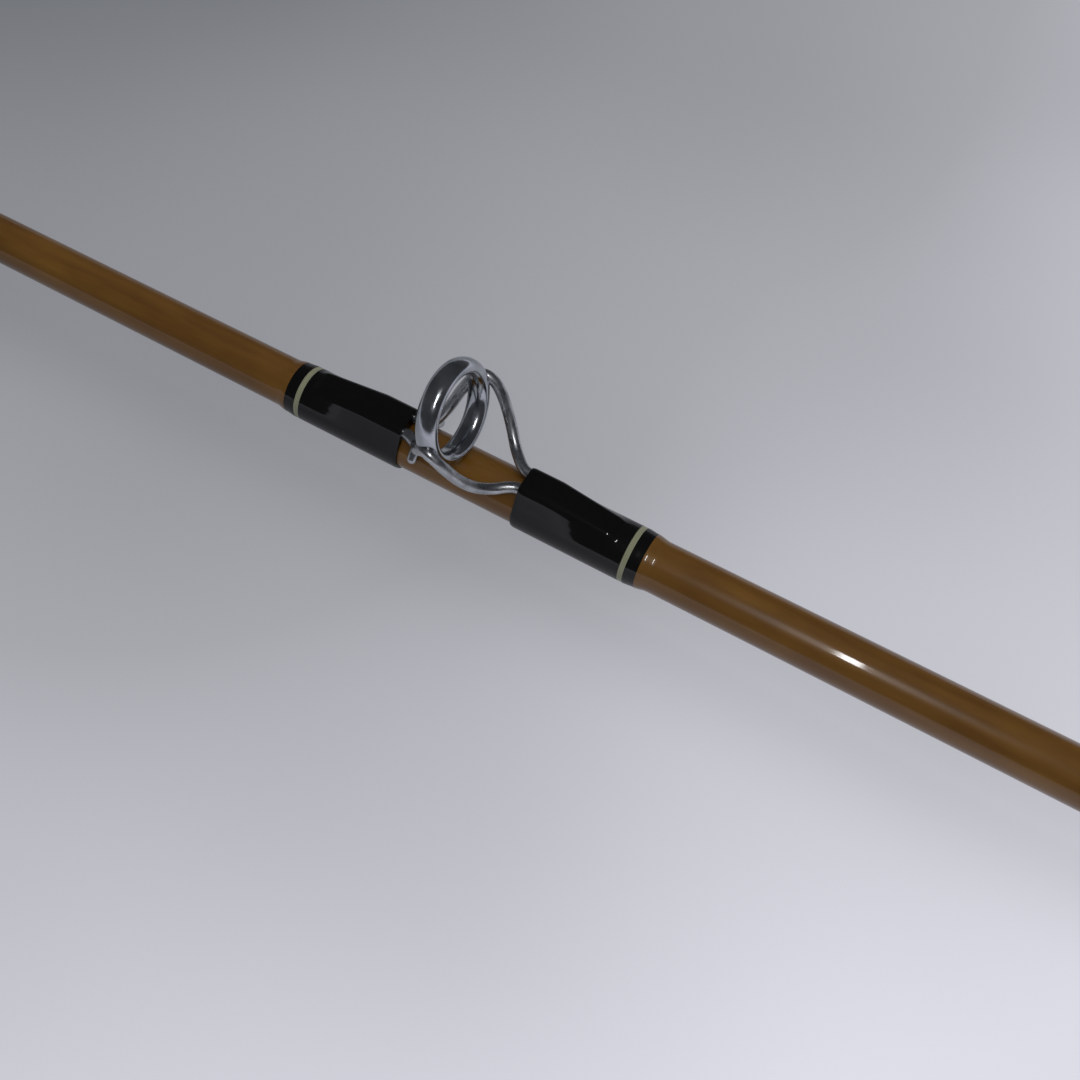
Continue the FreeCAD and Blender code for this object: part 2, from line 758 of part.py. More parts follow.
def gear_blank(axis, teeth, start, end, phase):
    """Spur gear about an axis along Y; phase turns its first tooth, in degrees."""
    pitch = gear_module * teeth / 2
    tip = pitch + 0.9 * gear_module
    root = pitch - 1.15 * gear_module
    step = 2 * math.pi / teeth
    half = tooth_share * step / 2
    shape = [(root, 1.5), (pitch, 1.0), (tip, 0.5)]
    points = []
    for tooth in range(teeth):
        middle = math.radians(phase) + tooth * step
        for radius, share in shape:
            points.append((radius, middle - share * half))
        for radius, share in reversed(shape):
            points.append((radius, middle + share * half))
    corners = [Vector(axis[0] + r * math.cos(a), start, axis[1] + r * math.sin(a)) for r, a in points]
    face = Part.Face(Part.makePolygon(corners + corners[:1]))
    return upright(face.extrude(Vector(0, end - start, 0)))


drive_start = -cavity_end + 3.8          # outer face of the drive gear
drive_end = drive_start + drive_width


def drive_gear():
    gear = gear_blank(gear_axis, drive_teeth, drive_start, drive_end, 90.0)
    return gear.cut(rod_y(sleeve_radius, drive_start - 1, drive_end + 1, gear_axis))


def gear_sleeve():
    start = -(right_face + body_gap + 2.2 + star_thickness + 1.0 + crank_thickness)
    sleeve = ring_y(sleeve_radius, stud_radius + running_fit, start, -right_inner - 1.0, gear_axis)
    flange = ring_y(sleeve_radius + 3, sleeve_radius - 0.5, drive_end, drive_end + 1.5, gear_axis)
    return sleeve.fuse(flange)


def drag_washers():
    washers = []
    start = drive_start
    for _ in range(3):
        washers.append(ring_y(washer_radius, sleeve_radius, start - washer_thickness, start, gear_axis))
        start -= washer_thickness
    return washers


pinion_inner = -right_inner - 2.6        # the pinion's end that faces the spool
groove_width = yoke_thickness + 2 * body_gap
groove_end = pinion_inner - 2.8
groove_start = groove_end - groove_width
pinion_outer = -cavity_end + pinion_travel + 0.5


def pinion_gear():
    neck = rod_y(pinion_pitch, groove_end, pinion_inner, spool_axis)
    groove = rod_y(2.9, groove_start, groove_end, spool_axis)
    half_step = 180.0 / pinion_teeth
    teeth = gear_blank(spool_axis, pinion_teeth, pinion_outer, groove_start, 270.0 + half_step)
    gear = neck.fuse(groove).fuse(teeth)
    half = square_side / 2 + 0.1
    socket = block((spool_axis[0] - half, spool_axis[0] + half), (pinion_inner - 2.6, pinion_inner + 1),
                   (spool_axis[1] - half, spool_axis[1] + half))
    bore = rod_y(journal_radius + running_fit, pinion_outer - 1, pinion_inner, spool_axis)
    return gear.cut(socket).cut(bore)


def lever_axis():
    return polar(spool_axis, lever_pivot_circle, lever_angle)


def yoke_stud_places():
    """Two studs either side of the line from the spool's axis to the lever."""
    middle = polar(spool_axis, 0.55 * lever_pivot_circle, lever_angle)
    return [polar(middle, yoke_stud_offset, lever_angle + turn) for turn in (-90, 90)]


def pinion_yoke():
    """Fork that carries the pinion along its shaft on two studs."""
    end = groove_end - body_gap
    start = end - yoke_thickness
    reach = lever_pivot_circle - lever_shaft - 1.0
    half = yoke_stud_offset + 2.4
    plate = block((0, reach), (start, end), (-half, half))
    fork = 2.9 + body_gap
    plate = plate.fuse(rod_y(fork + 2.2, start, end, (0, 0)))
    plate = plate.cut(rod_y(fork, start - 1, end + 1, (0, 0)))
    plate = plate.cut(block((-fork - 4, 0), (start - 1, end + 1), (-fork, fork)))
    plate.rotate(Vector(0, 0, 0), Vector(0, 1, 0), -lever_angle)
    plate.translate(Vector(spool_axis[0], 0, spool_axis[1]))
    for place in yoke_stud_places():
        plate = plate.cut(rod_y(yoke_stud_radius + running_fit, start - 1, end + 1, place))
    gear_room = drive_pitch + gear_module + body_gap
    return plate.cut(rod_y(gear_room, start - 1, end + 1, gear_axis))


# --- Crank, star and lever ---

star_outer = -(right_face + body_gap + 2.2 + star_thickness)
crank_start = star_outer - 1.0
crank_end = crank_start - crank_thickness
knob_axis = (gear_axis[0] + crank_throw, gear_axis[1])


def star_drag():
    star = rod_y(star_hub_radius, star_outer, star_outer + star_thickness, gear_axis)
    for arm in range(star_arms):
        angle = 90.0 + 360.0 * arm / star_arms
        tip = polar(gear_axis, star_radius - star_arm_half_width, angle)
        bar = block((0, star_radius - star_arm_half_width), (star_outer, star_outer + star_thickness),
                    (-star_arm_half_width, star_arm_half_width))
        bar.rotate(Vector(0, 0, 0), Vector(0, 1, 0), -angle)
        bar.translate(Vector(gear_axis[0], 0, gear_axis[1]))
        star = star.fuse(bar)
        star = star.fuse(rod_y(star_arm_half_width, star_outer, star_outer + star_thickness, tip))
    return star.cut(rod_y(sleeve_radius + running_fit, star_outer - 1, 0, gear_axis)).removeSplitter()


def crank_arm():
    big = rod_y(crank_big_end, crank_end, crank_start, gear_axis)
    small = rod_y(crank_small_end, crank_end, crank_start, knob_axis)
    side = crank_small_end - 0.6
    corners = [(gear_axis[0], crank_big_end - 0.9), (knob_axis[0], side), (knob_axis[0], -side),
               (gear_axis[0], -crank_big_end + 0.9)]
    points = [Vector(x, crank_end, gear_axis[1] + z) for x, z in corners]
    web = Part.Face(Part.makePolygon(points + points[:1])).extrude(Vector(0, crank_thickness, 0))
    arm = big.fuse(small).fuse(upright(web))
    arm = arm.cut(rod_y(sleeve_radius, crank_end - 1, crank_start + 1, gear_axis))
    return arm.cut(rod_y(spindle_radius, crank_end - 1, crank_start + 1, knob_axis))


def handle_nut():
    """Acorn nut on the end of the gear sleeve."""
    corner = nut_flats / math.sqrt(3)
    start = crank_end - handle_nut_height
    points = []
    for side in range(7):
        x, z = polar(gear_axis, corner, 60.0 * side)
        points.append(Vector(x, start, z))
    nut = upright(Part.Face(Part.makePolygon(points)).extrude(Vector(0, handle_nut_height, 0)))
    dome = turned_y([(0, start - 2.0), (2.2, start - 1.6), (nut_flats / 2 - 0.2, start), (0, start)],
                    gear_axis)
    return nut.fuse(dome)


def knob_spindle():
    end = crank_end - 2 * body_gap - knob_length
    pin = rod_y(spindle_radius, end - body_gap, crank_start, knob_axis)
    head = rod_y(spindle_radius + 1.6, end - body_gap - 1.5, end - body_gap, knob_axis)
    return pin.fuse(head)


def crank_knob():
    start = crank_end - 2 * body_gap
    stations = [(0.0, 0.55), (0.06, 0.7), (0.25, 0.86), (0.5, 1.0), (0.75, 0.97), (0.9, 0.84),
                (1.0, 0.6)]
    bore = spindle_radius + running_fit
    outline = [(bore, start)]
    for share, size in stations:
        outline.append((size * knob_radius, start - share * knob_length))
    outline.append((bore, start - knob_length))
    return turned_y(outline, knob_axis)


def free_spool_lever():
    axis = lever_axis()
    outer = -right_face - body_gap
    shaft = rod_y(lever_shaft, outer, -cavity_end + 3.0, axis)
    boss = rod_y(4.0, outer - 2.0, outer, axis)
    bar = block((0, lever_arm), (outer - 2.0, outer), (-2.4, 2.4))
    tab = block((lever_arm - 2.0, lever_arm), (outer - 2.0, outer + 5.0), (-4.0, 4.0))
    arm = bar.fuse(tab)
    arm.rotate(Vector(0, 0, 0), Vector(0, 1, 0), -lever_angle)
    arm.translate(Vector(axis[0], 0, axis[1]))
    return shaft.fuse(boss).fuse(arm)


def click_gear():
    step = 2 * math.pi / click_teeth
    start = ring_outer_face - 0.2
    points = []
    for tooth in range(click_teeth):
        for share, radius in ((0.0, click_gear_radius), (0.5, click_gear_radius - 1.4)):
            angle = (tooth + share) * step
            points.append(Vector(spool_axis[0] + radius * math.cos(angle), start,
                                 spool_axis[1] + radius * math.sin(angle)))
    face = Part.Face(Part.makePolygon(points + points[:1]))
    gear = upright(face.extrude(Vector(0, click_thickness, 0)))
    return gear.cut(rod_y(shaft_radius, start - 1, start + click_thickness + 1, spool_axis))


def click_button():
    """Thumb button, its stem through the slot, and the tongue that it slides to the click gear."""
    x = foot_centre_x
    z = axis_z + click_button_height
    head = rod_y(click_head_radius, left_face + body_gap, left_face + body_gap + 2.0, (x, z))
    half = click_stem / 2
    inner = ring_outer_face - 0.2
    stem = block((x - half, x + half), (inner, left_face + body_gap), (z - half, z + half))
    tip = axis_z + click_gear_radius + click_travel + body_gap
    tongue = block((x - 0.8, x + 0.8), (inner, inner + click_thickness), (tip, z))
    return head.fuse(stem).fuse(tongue)


def build_rod():
    export("butt_blank", [butt_blank()])
    export("ferrule_spigot", [ferrule_spigot()])
    export("tip_blank", [tip_blank()])
    export("butt_cap", [butt_cap()])
    export("rear_grip", [rear_grip()])
    export("seat_arbor", [seat_arbor()])
    export("reel_seat", [reel_seat()])
    export("fixed_hood", [fixed_hood()])
    export("sliding_hood", [sliding_hood()])
    export("lock_nut", [lock_nut()])
    export("fore_grip", [fore_grip()])
    export("winding_check", [winding_check()])
    export("hook_keeper", [hook_keeper()])
    butt_end = joint_x - joint_gap / 2
    tip_start = joint_x + joint_gap / 2
    butt_ferrule = plain_wrap(butt_end - ferrule_wrap_length, butt_end)
    butt_kept, butt_band = split_band(butt_ferrule, butt_end - ferrule_wrap_length + band_inset)
    tip_ferrule = plain_wrap(tip_start, tip_start + ferrule_wrap_length)
    tip_kept, tip_band = split_band(tip_ferrule, tip_start + ferrule_wrap_length - band_inset)
    export("butt_wraps", keeper_wraps() + [butt_kept])
    export("tip_wraps", [tip_kept])
    butt_bands = [butt_band]
    tip_bands = [tip_band]
    for number, row in enumerate(guide_table, 1):
        place = row[0]
        wires, ring, wraps, bands = guide_parts(*row)
        name = "guide_%d_" % number
        cross_wire = [saddle(wires)] if number == 1 else []
        export(name + "frame", wires + cross_wire)
        export(name + "ring", [ring])
        export(name + "wraps", wraps)
        own_bands = butt_bands if place < joint_x else tip_bands
        own_bands.extend(bands)
    export("butt_trim_bands", butt_bands)
    export("tip_trim_bands", tip_bands)
    tube, ring, braces = tip_top()
    export("tip_top_frame", [tube] + braces)
    export("tip_top_ring", [ring])


def build_reel():
    export("reel_foot", [reel_foot()])
    export("left_ring", [frame_ring(1)])
    export("right_ring", [frame_ring(-1)])
    export("frame_posts", frame_posts())
    export("plate_screws", plate_screws())
    export("bridge_plate", [bridge_plate()])
    export("right_plate", [right_plate()])
    export("left_plate", [left_plate()])
    export("left_bearing_cap", [bearing_cap(1, left_face, 2.4)])
    export("right_bearing_cap", [bearing_cap(-1, right_face, screw_head_height)])
    export("spool", [spool()])
    export("spool_shaft", [spool_shaft()])
    export("spool_bearings", spool_bearings())
    export("drive_gear", [drive_gear()])
    export("gear_sleeve", [gear_sleeve()])
    export("drag_washers", drag_washers())
    export("pinion_gear", [pinion_gear()])
    export("pinion_yoke", [pinion_yoke()])
    export("star_drag", [star_drag()])
    export("crank_arm", [crank_arm()])
    export("handle_nut", [handle_nut()])
    export("knob_spindle", [knob_spindle()])
    export("crank_knob", [crank_knob()])
    export("free_spool_lever", [free_spool_lever()])
    export("click_gear", [click_gear()])
    export("click_button", [click_button()])


os.makedirs("parts", exist_ok=True)
build_rod()
build_reel()
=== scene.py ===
import bmesh
import bpy
import json
import math
from mathutils import Matrix, Vector


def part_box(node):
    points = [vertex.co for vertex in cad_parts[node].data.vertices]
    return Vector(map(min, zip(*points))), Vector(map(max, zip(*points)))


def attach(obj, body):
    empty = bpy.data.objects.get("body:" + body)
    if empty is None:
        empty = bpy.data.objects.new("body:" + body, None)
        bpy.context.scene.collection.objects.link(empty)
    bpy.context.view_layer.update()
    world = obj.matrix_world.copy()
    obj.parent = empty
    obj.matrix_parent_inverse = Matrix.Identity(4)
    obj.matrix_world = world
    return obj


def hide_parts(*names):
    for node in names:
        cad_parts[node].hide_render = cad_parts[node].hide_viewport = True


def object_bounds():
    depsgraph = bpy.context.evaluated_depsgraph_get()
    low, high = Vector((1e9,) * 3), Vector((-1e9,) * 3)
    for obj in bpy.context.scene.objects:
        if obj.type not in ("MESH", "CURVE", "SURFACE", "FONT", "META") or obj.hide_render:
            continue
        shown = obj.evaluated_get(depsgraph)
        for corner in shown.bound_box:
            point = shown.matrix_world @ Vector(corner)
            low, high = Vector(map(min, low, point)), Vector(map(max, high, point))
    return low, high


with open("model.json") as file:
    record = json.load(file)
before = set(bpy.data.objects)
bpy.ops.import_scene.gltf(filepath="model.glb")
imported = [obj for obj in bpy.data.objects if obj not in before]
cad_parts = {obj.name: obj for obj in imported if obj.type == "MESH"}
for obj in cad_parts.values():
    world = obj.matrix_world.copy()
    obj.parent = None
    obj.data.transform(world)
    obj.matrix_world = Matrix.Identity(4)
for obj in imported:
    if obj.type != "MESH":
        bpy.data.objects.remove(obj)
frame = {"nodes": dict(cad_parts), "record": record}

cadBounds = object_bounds()
mm = 0.001
scene = bpy.context.scene
slotOf = {part["node"]: part["material_slot"] for part in frame["record"]["subparts"]}
bodyOf = {node: body for body, nodes in frame["record"]["behaviour"]["bodies"].items() for node in nodes}


# ---- nodes, meshes and places ----

def toLinear(hexColour, alpha=1.0):
    channels = [int(hexColour[i:i + 2], 16) / 255 for i in (1, 3, 5)]
    linear = [c / 12.92 if c <= 0.04045 else ((c + 0.055) / 1.055) ** 2.4 for c in channels]
    return (*linear, alpha)


def addNode(tree, kind, inputs=None, **settings):
    # a node with its settings; an input takes a number, a colour, a socket, or a node's first output
    node = tree.nodes.new(kind)
    for name, value in settings.items():
        setattr(node, name, value)
    for name, value in (inputs or {}).items():
        if isinstance(name, int):
            socket = node.inputs[name]
        else:
            socket = next(s for s in node.inputs if s.enabled and name in (s.name, s.identifier))
        if isinstance(value, bpy.types.Node):
            value = next(s for s in value.outputs if s.enabled)
        if isinstance(value, bpy.types.NodeSocket):
            tree.links.new(value, socket)
        else:
            socket.default_value = value
    return node


def corners(node):
    low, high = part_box(node)
    return low / mm, high / mm


def middleOf(node):
    low, high = corners(node)
    return (low + high) / 2


def smoothstep(value):
    value = min(max(value, 0.0), 1.0)
    return value * value * (3 - 2 * value)


def finishMesh(mesh, sharpAngle=35):
    # merge, turn the faces outwards, and shade smooth between edges sharper than the angle
    bm = bmesh.new()
    bm.from_mesh(mesh)
    bmesh.ops.remove_doubles(bm, verts=bm.verts, dist=2e-7)
    bmesh.ops.recalc_face_normals(bm, faces=bm.faces)
    bm.to_mesh(mesh)
    bm.free()
    mesh.polygons.foreach_set("use_smooth", [True] * len(mesh.polygons))
    mesh.set_sharp_from_angle(angle=math.radians(sharpAngle))
    mesh.update()


def addPiece(name, mesh, slotName, body, *nodes):
    mesh.name = name
    if not mesh.materials:
        mesh.materials.append(finishes[slotName])
    piece = bpy.data.objects.new(name, mesh)
    scene.collection.objects.link(piece)
    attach(piece, body)
    if nodes:
        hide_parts(*nodes)
    return piece


def ringedMesh(rings, closed=True):
    # rings of equally many points in mm, joined by quads; closed joins the last ring to the first
    count = len(rings[0])
    vertices = [tuple(Vector(point) * mm) for ring in rings for point in ring]
    faces = []
    for row in range(len(rings) if closed else len(rings) - 1):
        below = row * count
        above = ((row + 1) % len(rings)) * count
        for i in range(count):
            j = (i + 1) % count
            faces.append((below + i, below + j, above + j, above + i))
    mesh = bpy.data.meshes.new("rings")
    mesh.from_pydata(vertices, [], faces)
    finishMesh(mesh)
    return mesh


def joinedMesh(meshes):
    bm = bmesh.new()
    for mesh in meshes:
        bm.from_mesh(mesh)
    joined = bpy.data.meshes.new("joined")
    bm.to_mesh(joined)
    bm.free()
    joined.polygons.foreach_set("use_smooth", [True] * len(joined.polygons))
    joined.set_sharp_from_angle(angle=math.radians(35))
    for mesh in meshes:
        bpy.data.meshes.remove(mesh)
    return joined


def turnedMesh(profile, sides=96):
    # a closed outline of (x, radius) points in mm, turned about the rod's axis
    turns = [2 * math.pi * i / sides for i in range(sides)]
    return ringedMesh([[(x, r * math.cos(a), r * math.sin(a)) for a in turns] for x, r in profile])


# ---- finishes ----

def startMaterial(name):
    material = bpy.data.materials.new(name)
    material.use_nodes = True
    tree = material.node_tree
    tree.nodes.clear()
    return material, tree, addNode(tree, "ShaderNodeTexCoord").outputs["Object"]


def endMaterial(material, tree, shader):
    addNode(tree, "ShaderNodeOutputMaterial", {"Surface": shader})
    return material


def ramp(tree, value, low, high, lowAt=0.3, highAt=0.7):
    made = addNode(tree, "ShaderNodeValToRGB", {"Fac": value})
    made.color_ramp.elements[0].position = lowAt
    made.color_ramp.elements[0].color = toLinear(low)
    made.color_ramp.elements[1].position = highAt
    made.color_ramp.elements[1].color = toLinear(high)
    return made


def lacqueredFibreglass():
    # rolled glass cloth in tinted resin under clear lacquer: deep gloss over a faintly streaked,
    # honey-brown body, its coat a little wavy from the brush
    material, tree, place = startMaterial("lacqueredFibreglass")
    stretched = addNode(tree, "ShaderNodeMapping", {"Vector": place, "Scale": (60, 500, 500)})
    streaks = addNode(tree, "ShaderNodeTexNoise", {"Vector": stretched, "Scale": 1.0, "Detail": 3.0})
    clouds = addNode(tree, "ShaderNodeTexNoise", {"Vector": place, "Scale": 70.0, "Detail": 2.0})
    tone = addNode(tree, "ShaderNodeMix", {"Factor_Float": 0.5, "A_Float": streaks, "B_Float": clouds})
    colour = ramp(tree, tone, blankFinish["deep"], blankFinish["light"], 0.35, 0.68)
    waves = addNode(tree, "ShaderNodeTexNoise", {"Vector": place, "Scale": 260.0, "Detail": 1.0})
    bump = addNode(tree, "ShaderNodeBump", {"Height": waves, "Strength": 0.12, "Distance": 0.1 * mm})
    shader = addNode(tree, "ShaderNodeBsdfPrincipled", {
        "Base Color": colour, "Roughness": blankFinish["bodyRoughness"], "IOR": 1.52, "Coat Weight": 0.45,
        "Coat Roughness": blankFinish["coatRoughness"], "Coat IOR": 1.5, "Coat Normal": bump,
        "Specular IOR Level": 0.22})
    return endMaterial(material, tree, shader)


blankFinish = {"deep": "#4d310c", "light": "#614212", "bodyRoughness": 0.30, "coatRoughness": 0.05}
threadPitch = 0.30        # mm; the real thread is 0.2 mm, drawn coarser so that it shows


def woundThread(name, deep, light, gloss):
    # nylon thread wound turn on turn and sealed under brushed epoxy: faint turns below a flowing gloss
    material, tree, place = startMaterial(name)
    scale = 2 * math.pi / (20 * threadPitch * mm)
    turns = addNode(tree, "ShaderNodeTexWave", {"Vector": place, "Scale": scale, "Distortion": 0.0},
                    wave_type="BANDS", bands_direction="X")
    colour = ramp(tree, turns.outputs["Fac"], deep, light, 0.0, 1.0)
    brushed = addNode(tree, "ShaderNodeTexNoise", {"Vector": place, "Scale": 230.0, "Detail": 1.0})
    coatBump = addNode(tree, "ShaderNodeBump", {"Height": brushed, "Strength": 0.16, "Distance": 0.1 * mm})
    threadBump = addNode(tree, "ShaderNodeBump", {"Height": turns.outputs["Fac"], "Strength": 0.4,
                                                  "Distance": 0.05 * mm})
    shader = addNode(tree, "ShaderNodeBsdfPrincipled", {
        "Base Color": colour, "Roughness": 0.55, "IOR": 1.5, "Coat Weight": gloss, "Coat Roughness": 0.07,
        "Coat IOR": 1.53, "Normal": threadBump, "Coat Normal": coatBump, "Specular IOR Level": 0.06})
    return endMaterial(material, tree, shader)


def platedMetal(name, dark, light, roughness, grain=(300, 300, 300), depth=0.1):
    # nickel and chrome plate, polished: cool and mirror bright, with faint polishing marks and haze
    material, tree, place = startMaterial(name)
    drawn = addNode(tree, "ShaderNodeMapping", {"Vector": place, "Scale": grain})
    marks = addNode(tree, "ShaderNodeTexNoise", {"Vector": drawn, "Scale": 1.0, "Detail": 3.0})
    haze = addNode(tree, "ShaderNodeTexNoise", {"Vector": place, "Scale": 700.0, "Detail": 3.0})
    rough = addNode(tree, "ShaderNodeMapRange", {"Value": haze, "From Min": 0.3, "From Max": 0.75,
                                                 "To Min": 0.6 * roughness, "To Max": 1.6 * roughness})
    colour = ramp(tree, marks, dark, light)
    bump = addNode(tree, "ShaderNodeBump", {"Height": marks, "Strength": depth, "Distance": 0.1 * mm})
    shader = addNode(tree, "ShaderNodeBsdfPrincipled", {"Base Color": colour, "Metallic": 1.0,
                                                        "Roughness": rough, "Normal": bump})
    return endMaterial(material, tree, shader)


def brushedMetal(name, dark, light, roughness, direction=(60, 900, 60)):
    # turned or brushed and then anodised or left bare: fine parallel marks that stretch the highlight
    return platedMetal(name, dark, light, roughness, direction, 0.25)


def mouldedPlastic(name, dark, light, roughness, ior, grit):
    # moulded and lightly textured by the mould's etched wall
    material, tree, place = startMaterial(name)
    grains = addNode(tree, "ShaderNodeTexNoise", {"Vector": place, "Scale": 1 / (grit * mm), "Detail": 2.0})
    clouds = addNode(tree, "ShaderNodeTexNoise", {"Vector": place, "Scale": 45.0, "Detail": 3.0})
    colour = ramp(tree, clouds, dark, light)
    rough = addNode(tree, "ShaderNodeMapRange", {"Value": clouds, "From Min": 0.3, "From Max": 0.7,
                                                 "To Min": 0.85 * roughness, "To Max": 1.15 * roughness})
    bump = addNode(tree, "ShaderNodeBump", {"Height": grains, "Strength": 0.25, "Distance": 0.06 * mm})
    shader = addNode(tree, "ShaderNodeBsdfPrincipled", {"Base Color": colour, "Roughness": rough, "IOR": ior,
                                                        "Normal": bump})
    return endMaterial(material, tree, shader)


def sandedCork():
    # rings of pressed cork, sanded: warm and matt, with dark pits 0.5 to 2 mm across and paler flecks
    material, tree, place = startMaterial("sandedCork")
    cells = addNode(tree, "ShaderNodeTexVoronoi", {"Vector": place, "Scale": 1 / (2.2 * mm),
                                                   "Randomness": 1.0})
    patches = addNode(tree, "ShaderNodeTexNoise", {"Vector": place, "Scale": 1 / (6 * mm), "Detail": 4.0})
    pitted = addNode(tree, "ShaderNodeTexNoise", {"Vector": place, "Scale": 1 / (1.6 * mm), "Detail": 3.0})
    body = ramp(tree, patches, "#a87b4d", "#c79a68")
    fleck = addNode(tree, "ShaderNodeMapRange", {"Value": cells.outputs["Distance"], "From Min": 0.55,
                                                 "From Max": 0.8, "To Min": 0.0, "To Max": 0.35})
    flecked = addNode(tree, "ShaderNodeMix", {"Factor_Float": fleck, "A_Color": body.outputs[0],
                                              "B_Color": toLinear("#8a5c34")}, data_type="RGBA")
    pit = addNode(tree, "ShaderNodeMapRange", {"Value": pitted, "From Min": 0.62, "From Max": 0.70,
                                               "To Min": 0.0, "To Max": 1.0})
    colour = addNode(tree, "ShaderNodeMix", {"Factor_Float": pit, "A_Color": flecked,
                                             "B_Color": toLinear("#4a2c17")}, data_type="RGBA")
    bump = addNode(tree, "ShaderNodeBump", {"Height": pit, "Strength": 0.7, "Distance": 0.3 * mm},
                   invert=True)
    shader = addNode(tree, "ShaderNodeBsdfPrincipled", {"Base Color": colour, "Roughness": 0.8, "IOR": 1.45,
                                                        "Normal": bump})
    return endMaterial(material, tree, shader)


finishes = {
    "lacquered_fibreglass": lacqueredFibreglass(),
    "bare_fibreglass": mouldedPlastic("sandedFibreglass", "#a5986c", "#c2b68a", 0.5, 1.52, 0.8),
    "black_rubber": mouldedPlastic("mouldedRubber", "#141414", "#202020", 0.62, 1.52, 0.9),
    "cork": sandedCork(),
    "fibre_bushing": mouldedPlastic("pressedFibre", "#6a5438", "#7d6644", 0.8, 1.45, 0.7),
    "anodised_seat": brushedMetal("blackAnodisedAluminium", "#17181a", "#26282b", 0.34, (900, 60, 60)),
    "black_thread": woundThread("blackThreadUnderEpoxy", "#020202", "#070707", 0.6),
    "pale_thread": woundThread("paleThreadUnderEpoxy", "#666754", "#85866f", 0.7),
    "chromed_wire": platedMetal("chromedWire", "#9b9ea1", "#c6c9cc", 0.30),
    "hard_chrome": platedMetal("polishedHardChrome", "#90949a", "#c0c4c9", 0.17, (260, 260, 260), 0.12),
    "reel_chrome": platedMetal("brightChromePlate", "#bfc1c4", "#cccecf", 0.13),
    "steel": brushedMetal("turnedStainlessSteel", "#8f9295", "#b3b5b7", 0.28),
    "black_plate": mouldedPlastic("mouldedBakelite", "#0c0c0d", "#171719", 0.24, 1.58, 1.4),
    "spool_alloy": platedMetal("anodisedSpoolAlloy", "#a89868", "#b6a675", 0.26, (1100, 1100, 1100), 0.06),
    "gear_brass": brushedMetal("cutBrass", "#9c7a38", "#c3a052", 0.3),
    "drag_leather": mouldedPlastic("pressedLeather", "#5a3a22", "#72502f", 0.75, 1.45, 0.6),
    "knob_plastic": mouldedPlastic("polishedPhenolic", "#0d0c0c", "#1a1817", 0.2, 1.6, 1.6),
}
print("finishes made:", len(finishes))


# ---- geometry node trees ----

def startTree(name, sizes):
    tree = bpy.data.node_groups.new(name, "GeometryNodeTree")
    tree.interface.new_socket(name="Geometry", in_out="INPUT", socket_type="NodeSocketGeometry")
    tree.interface.new_socket(name="Geometry", in_out="OUTPUT", socket_type="NodeSocketGeometry")
    for size, kind in sizes.items():
        tree.interface.new_socket(name=size, in_out="INPUT", socket_type="NodeSocket" + kind)
    tree.interface.new_socket(name="Finish", in_out="INPUT", socket_type="NodeSocketMaterial")
    return tree, tree.nodes.new("NodeGroupInput").outputs


def endTree(tree, given, geometry):
    real = addNode(tree, "GeometryNodeRealizeInstances", {"Geometry": geometry})
    finished = addNode(tree, "GeometryNodeSetMaterial", {"Geometry": real, "Material": given["Finish"]})
    addNode(tree, "NodeGroupOutput", {"Geometry": finished})
    return tree


def taperedTubeTree():
    # a round tube along X whose radius runs evenly from one end to the other
    tree, given = startTree("taperedTube", {"Start": "Float", "End": "Float", "Start Radius": "Float",
                                            "End Radius": "Float", "Stations": "Int", "Sides": "Int"})
    start = addNode(tree, "ShaderNodeCombineXYZ", {"X": given["Start"]})
    end = addNode(tree, "ShaderNodeCombineXYZ", {"X": given["End"]})
    line = addNode(tree, "GeometryNodeCurvePrimitiveLine", {"Start": start, "End": end})
    spine = addNode(tree, "GeometryNodeResampleCurve", {"Curve": line, "Count": given["Stations"]})
    along = addNode(tree, "GeometryNodeSplineParameter").outputs["Factor"]
    radius = addNode(tree, "ShaderNodeMapRange", {"Value": along, "To Min": given["Start Radius"],
                                                  "To Max": given["End Radius"]})
    circle = addNode(tree, "GeometryNodeCurvePrimitiveCircle", {"Resolution": given["Sides"], "Radius": 1.0})
    tube = addNode(tree, "GeometryNodeCurveToMesh", {"Curve": spine, "Profile Curve": circle, "Scale": radius})
    return endTree(tree, given, tube)


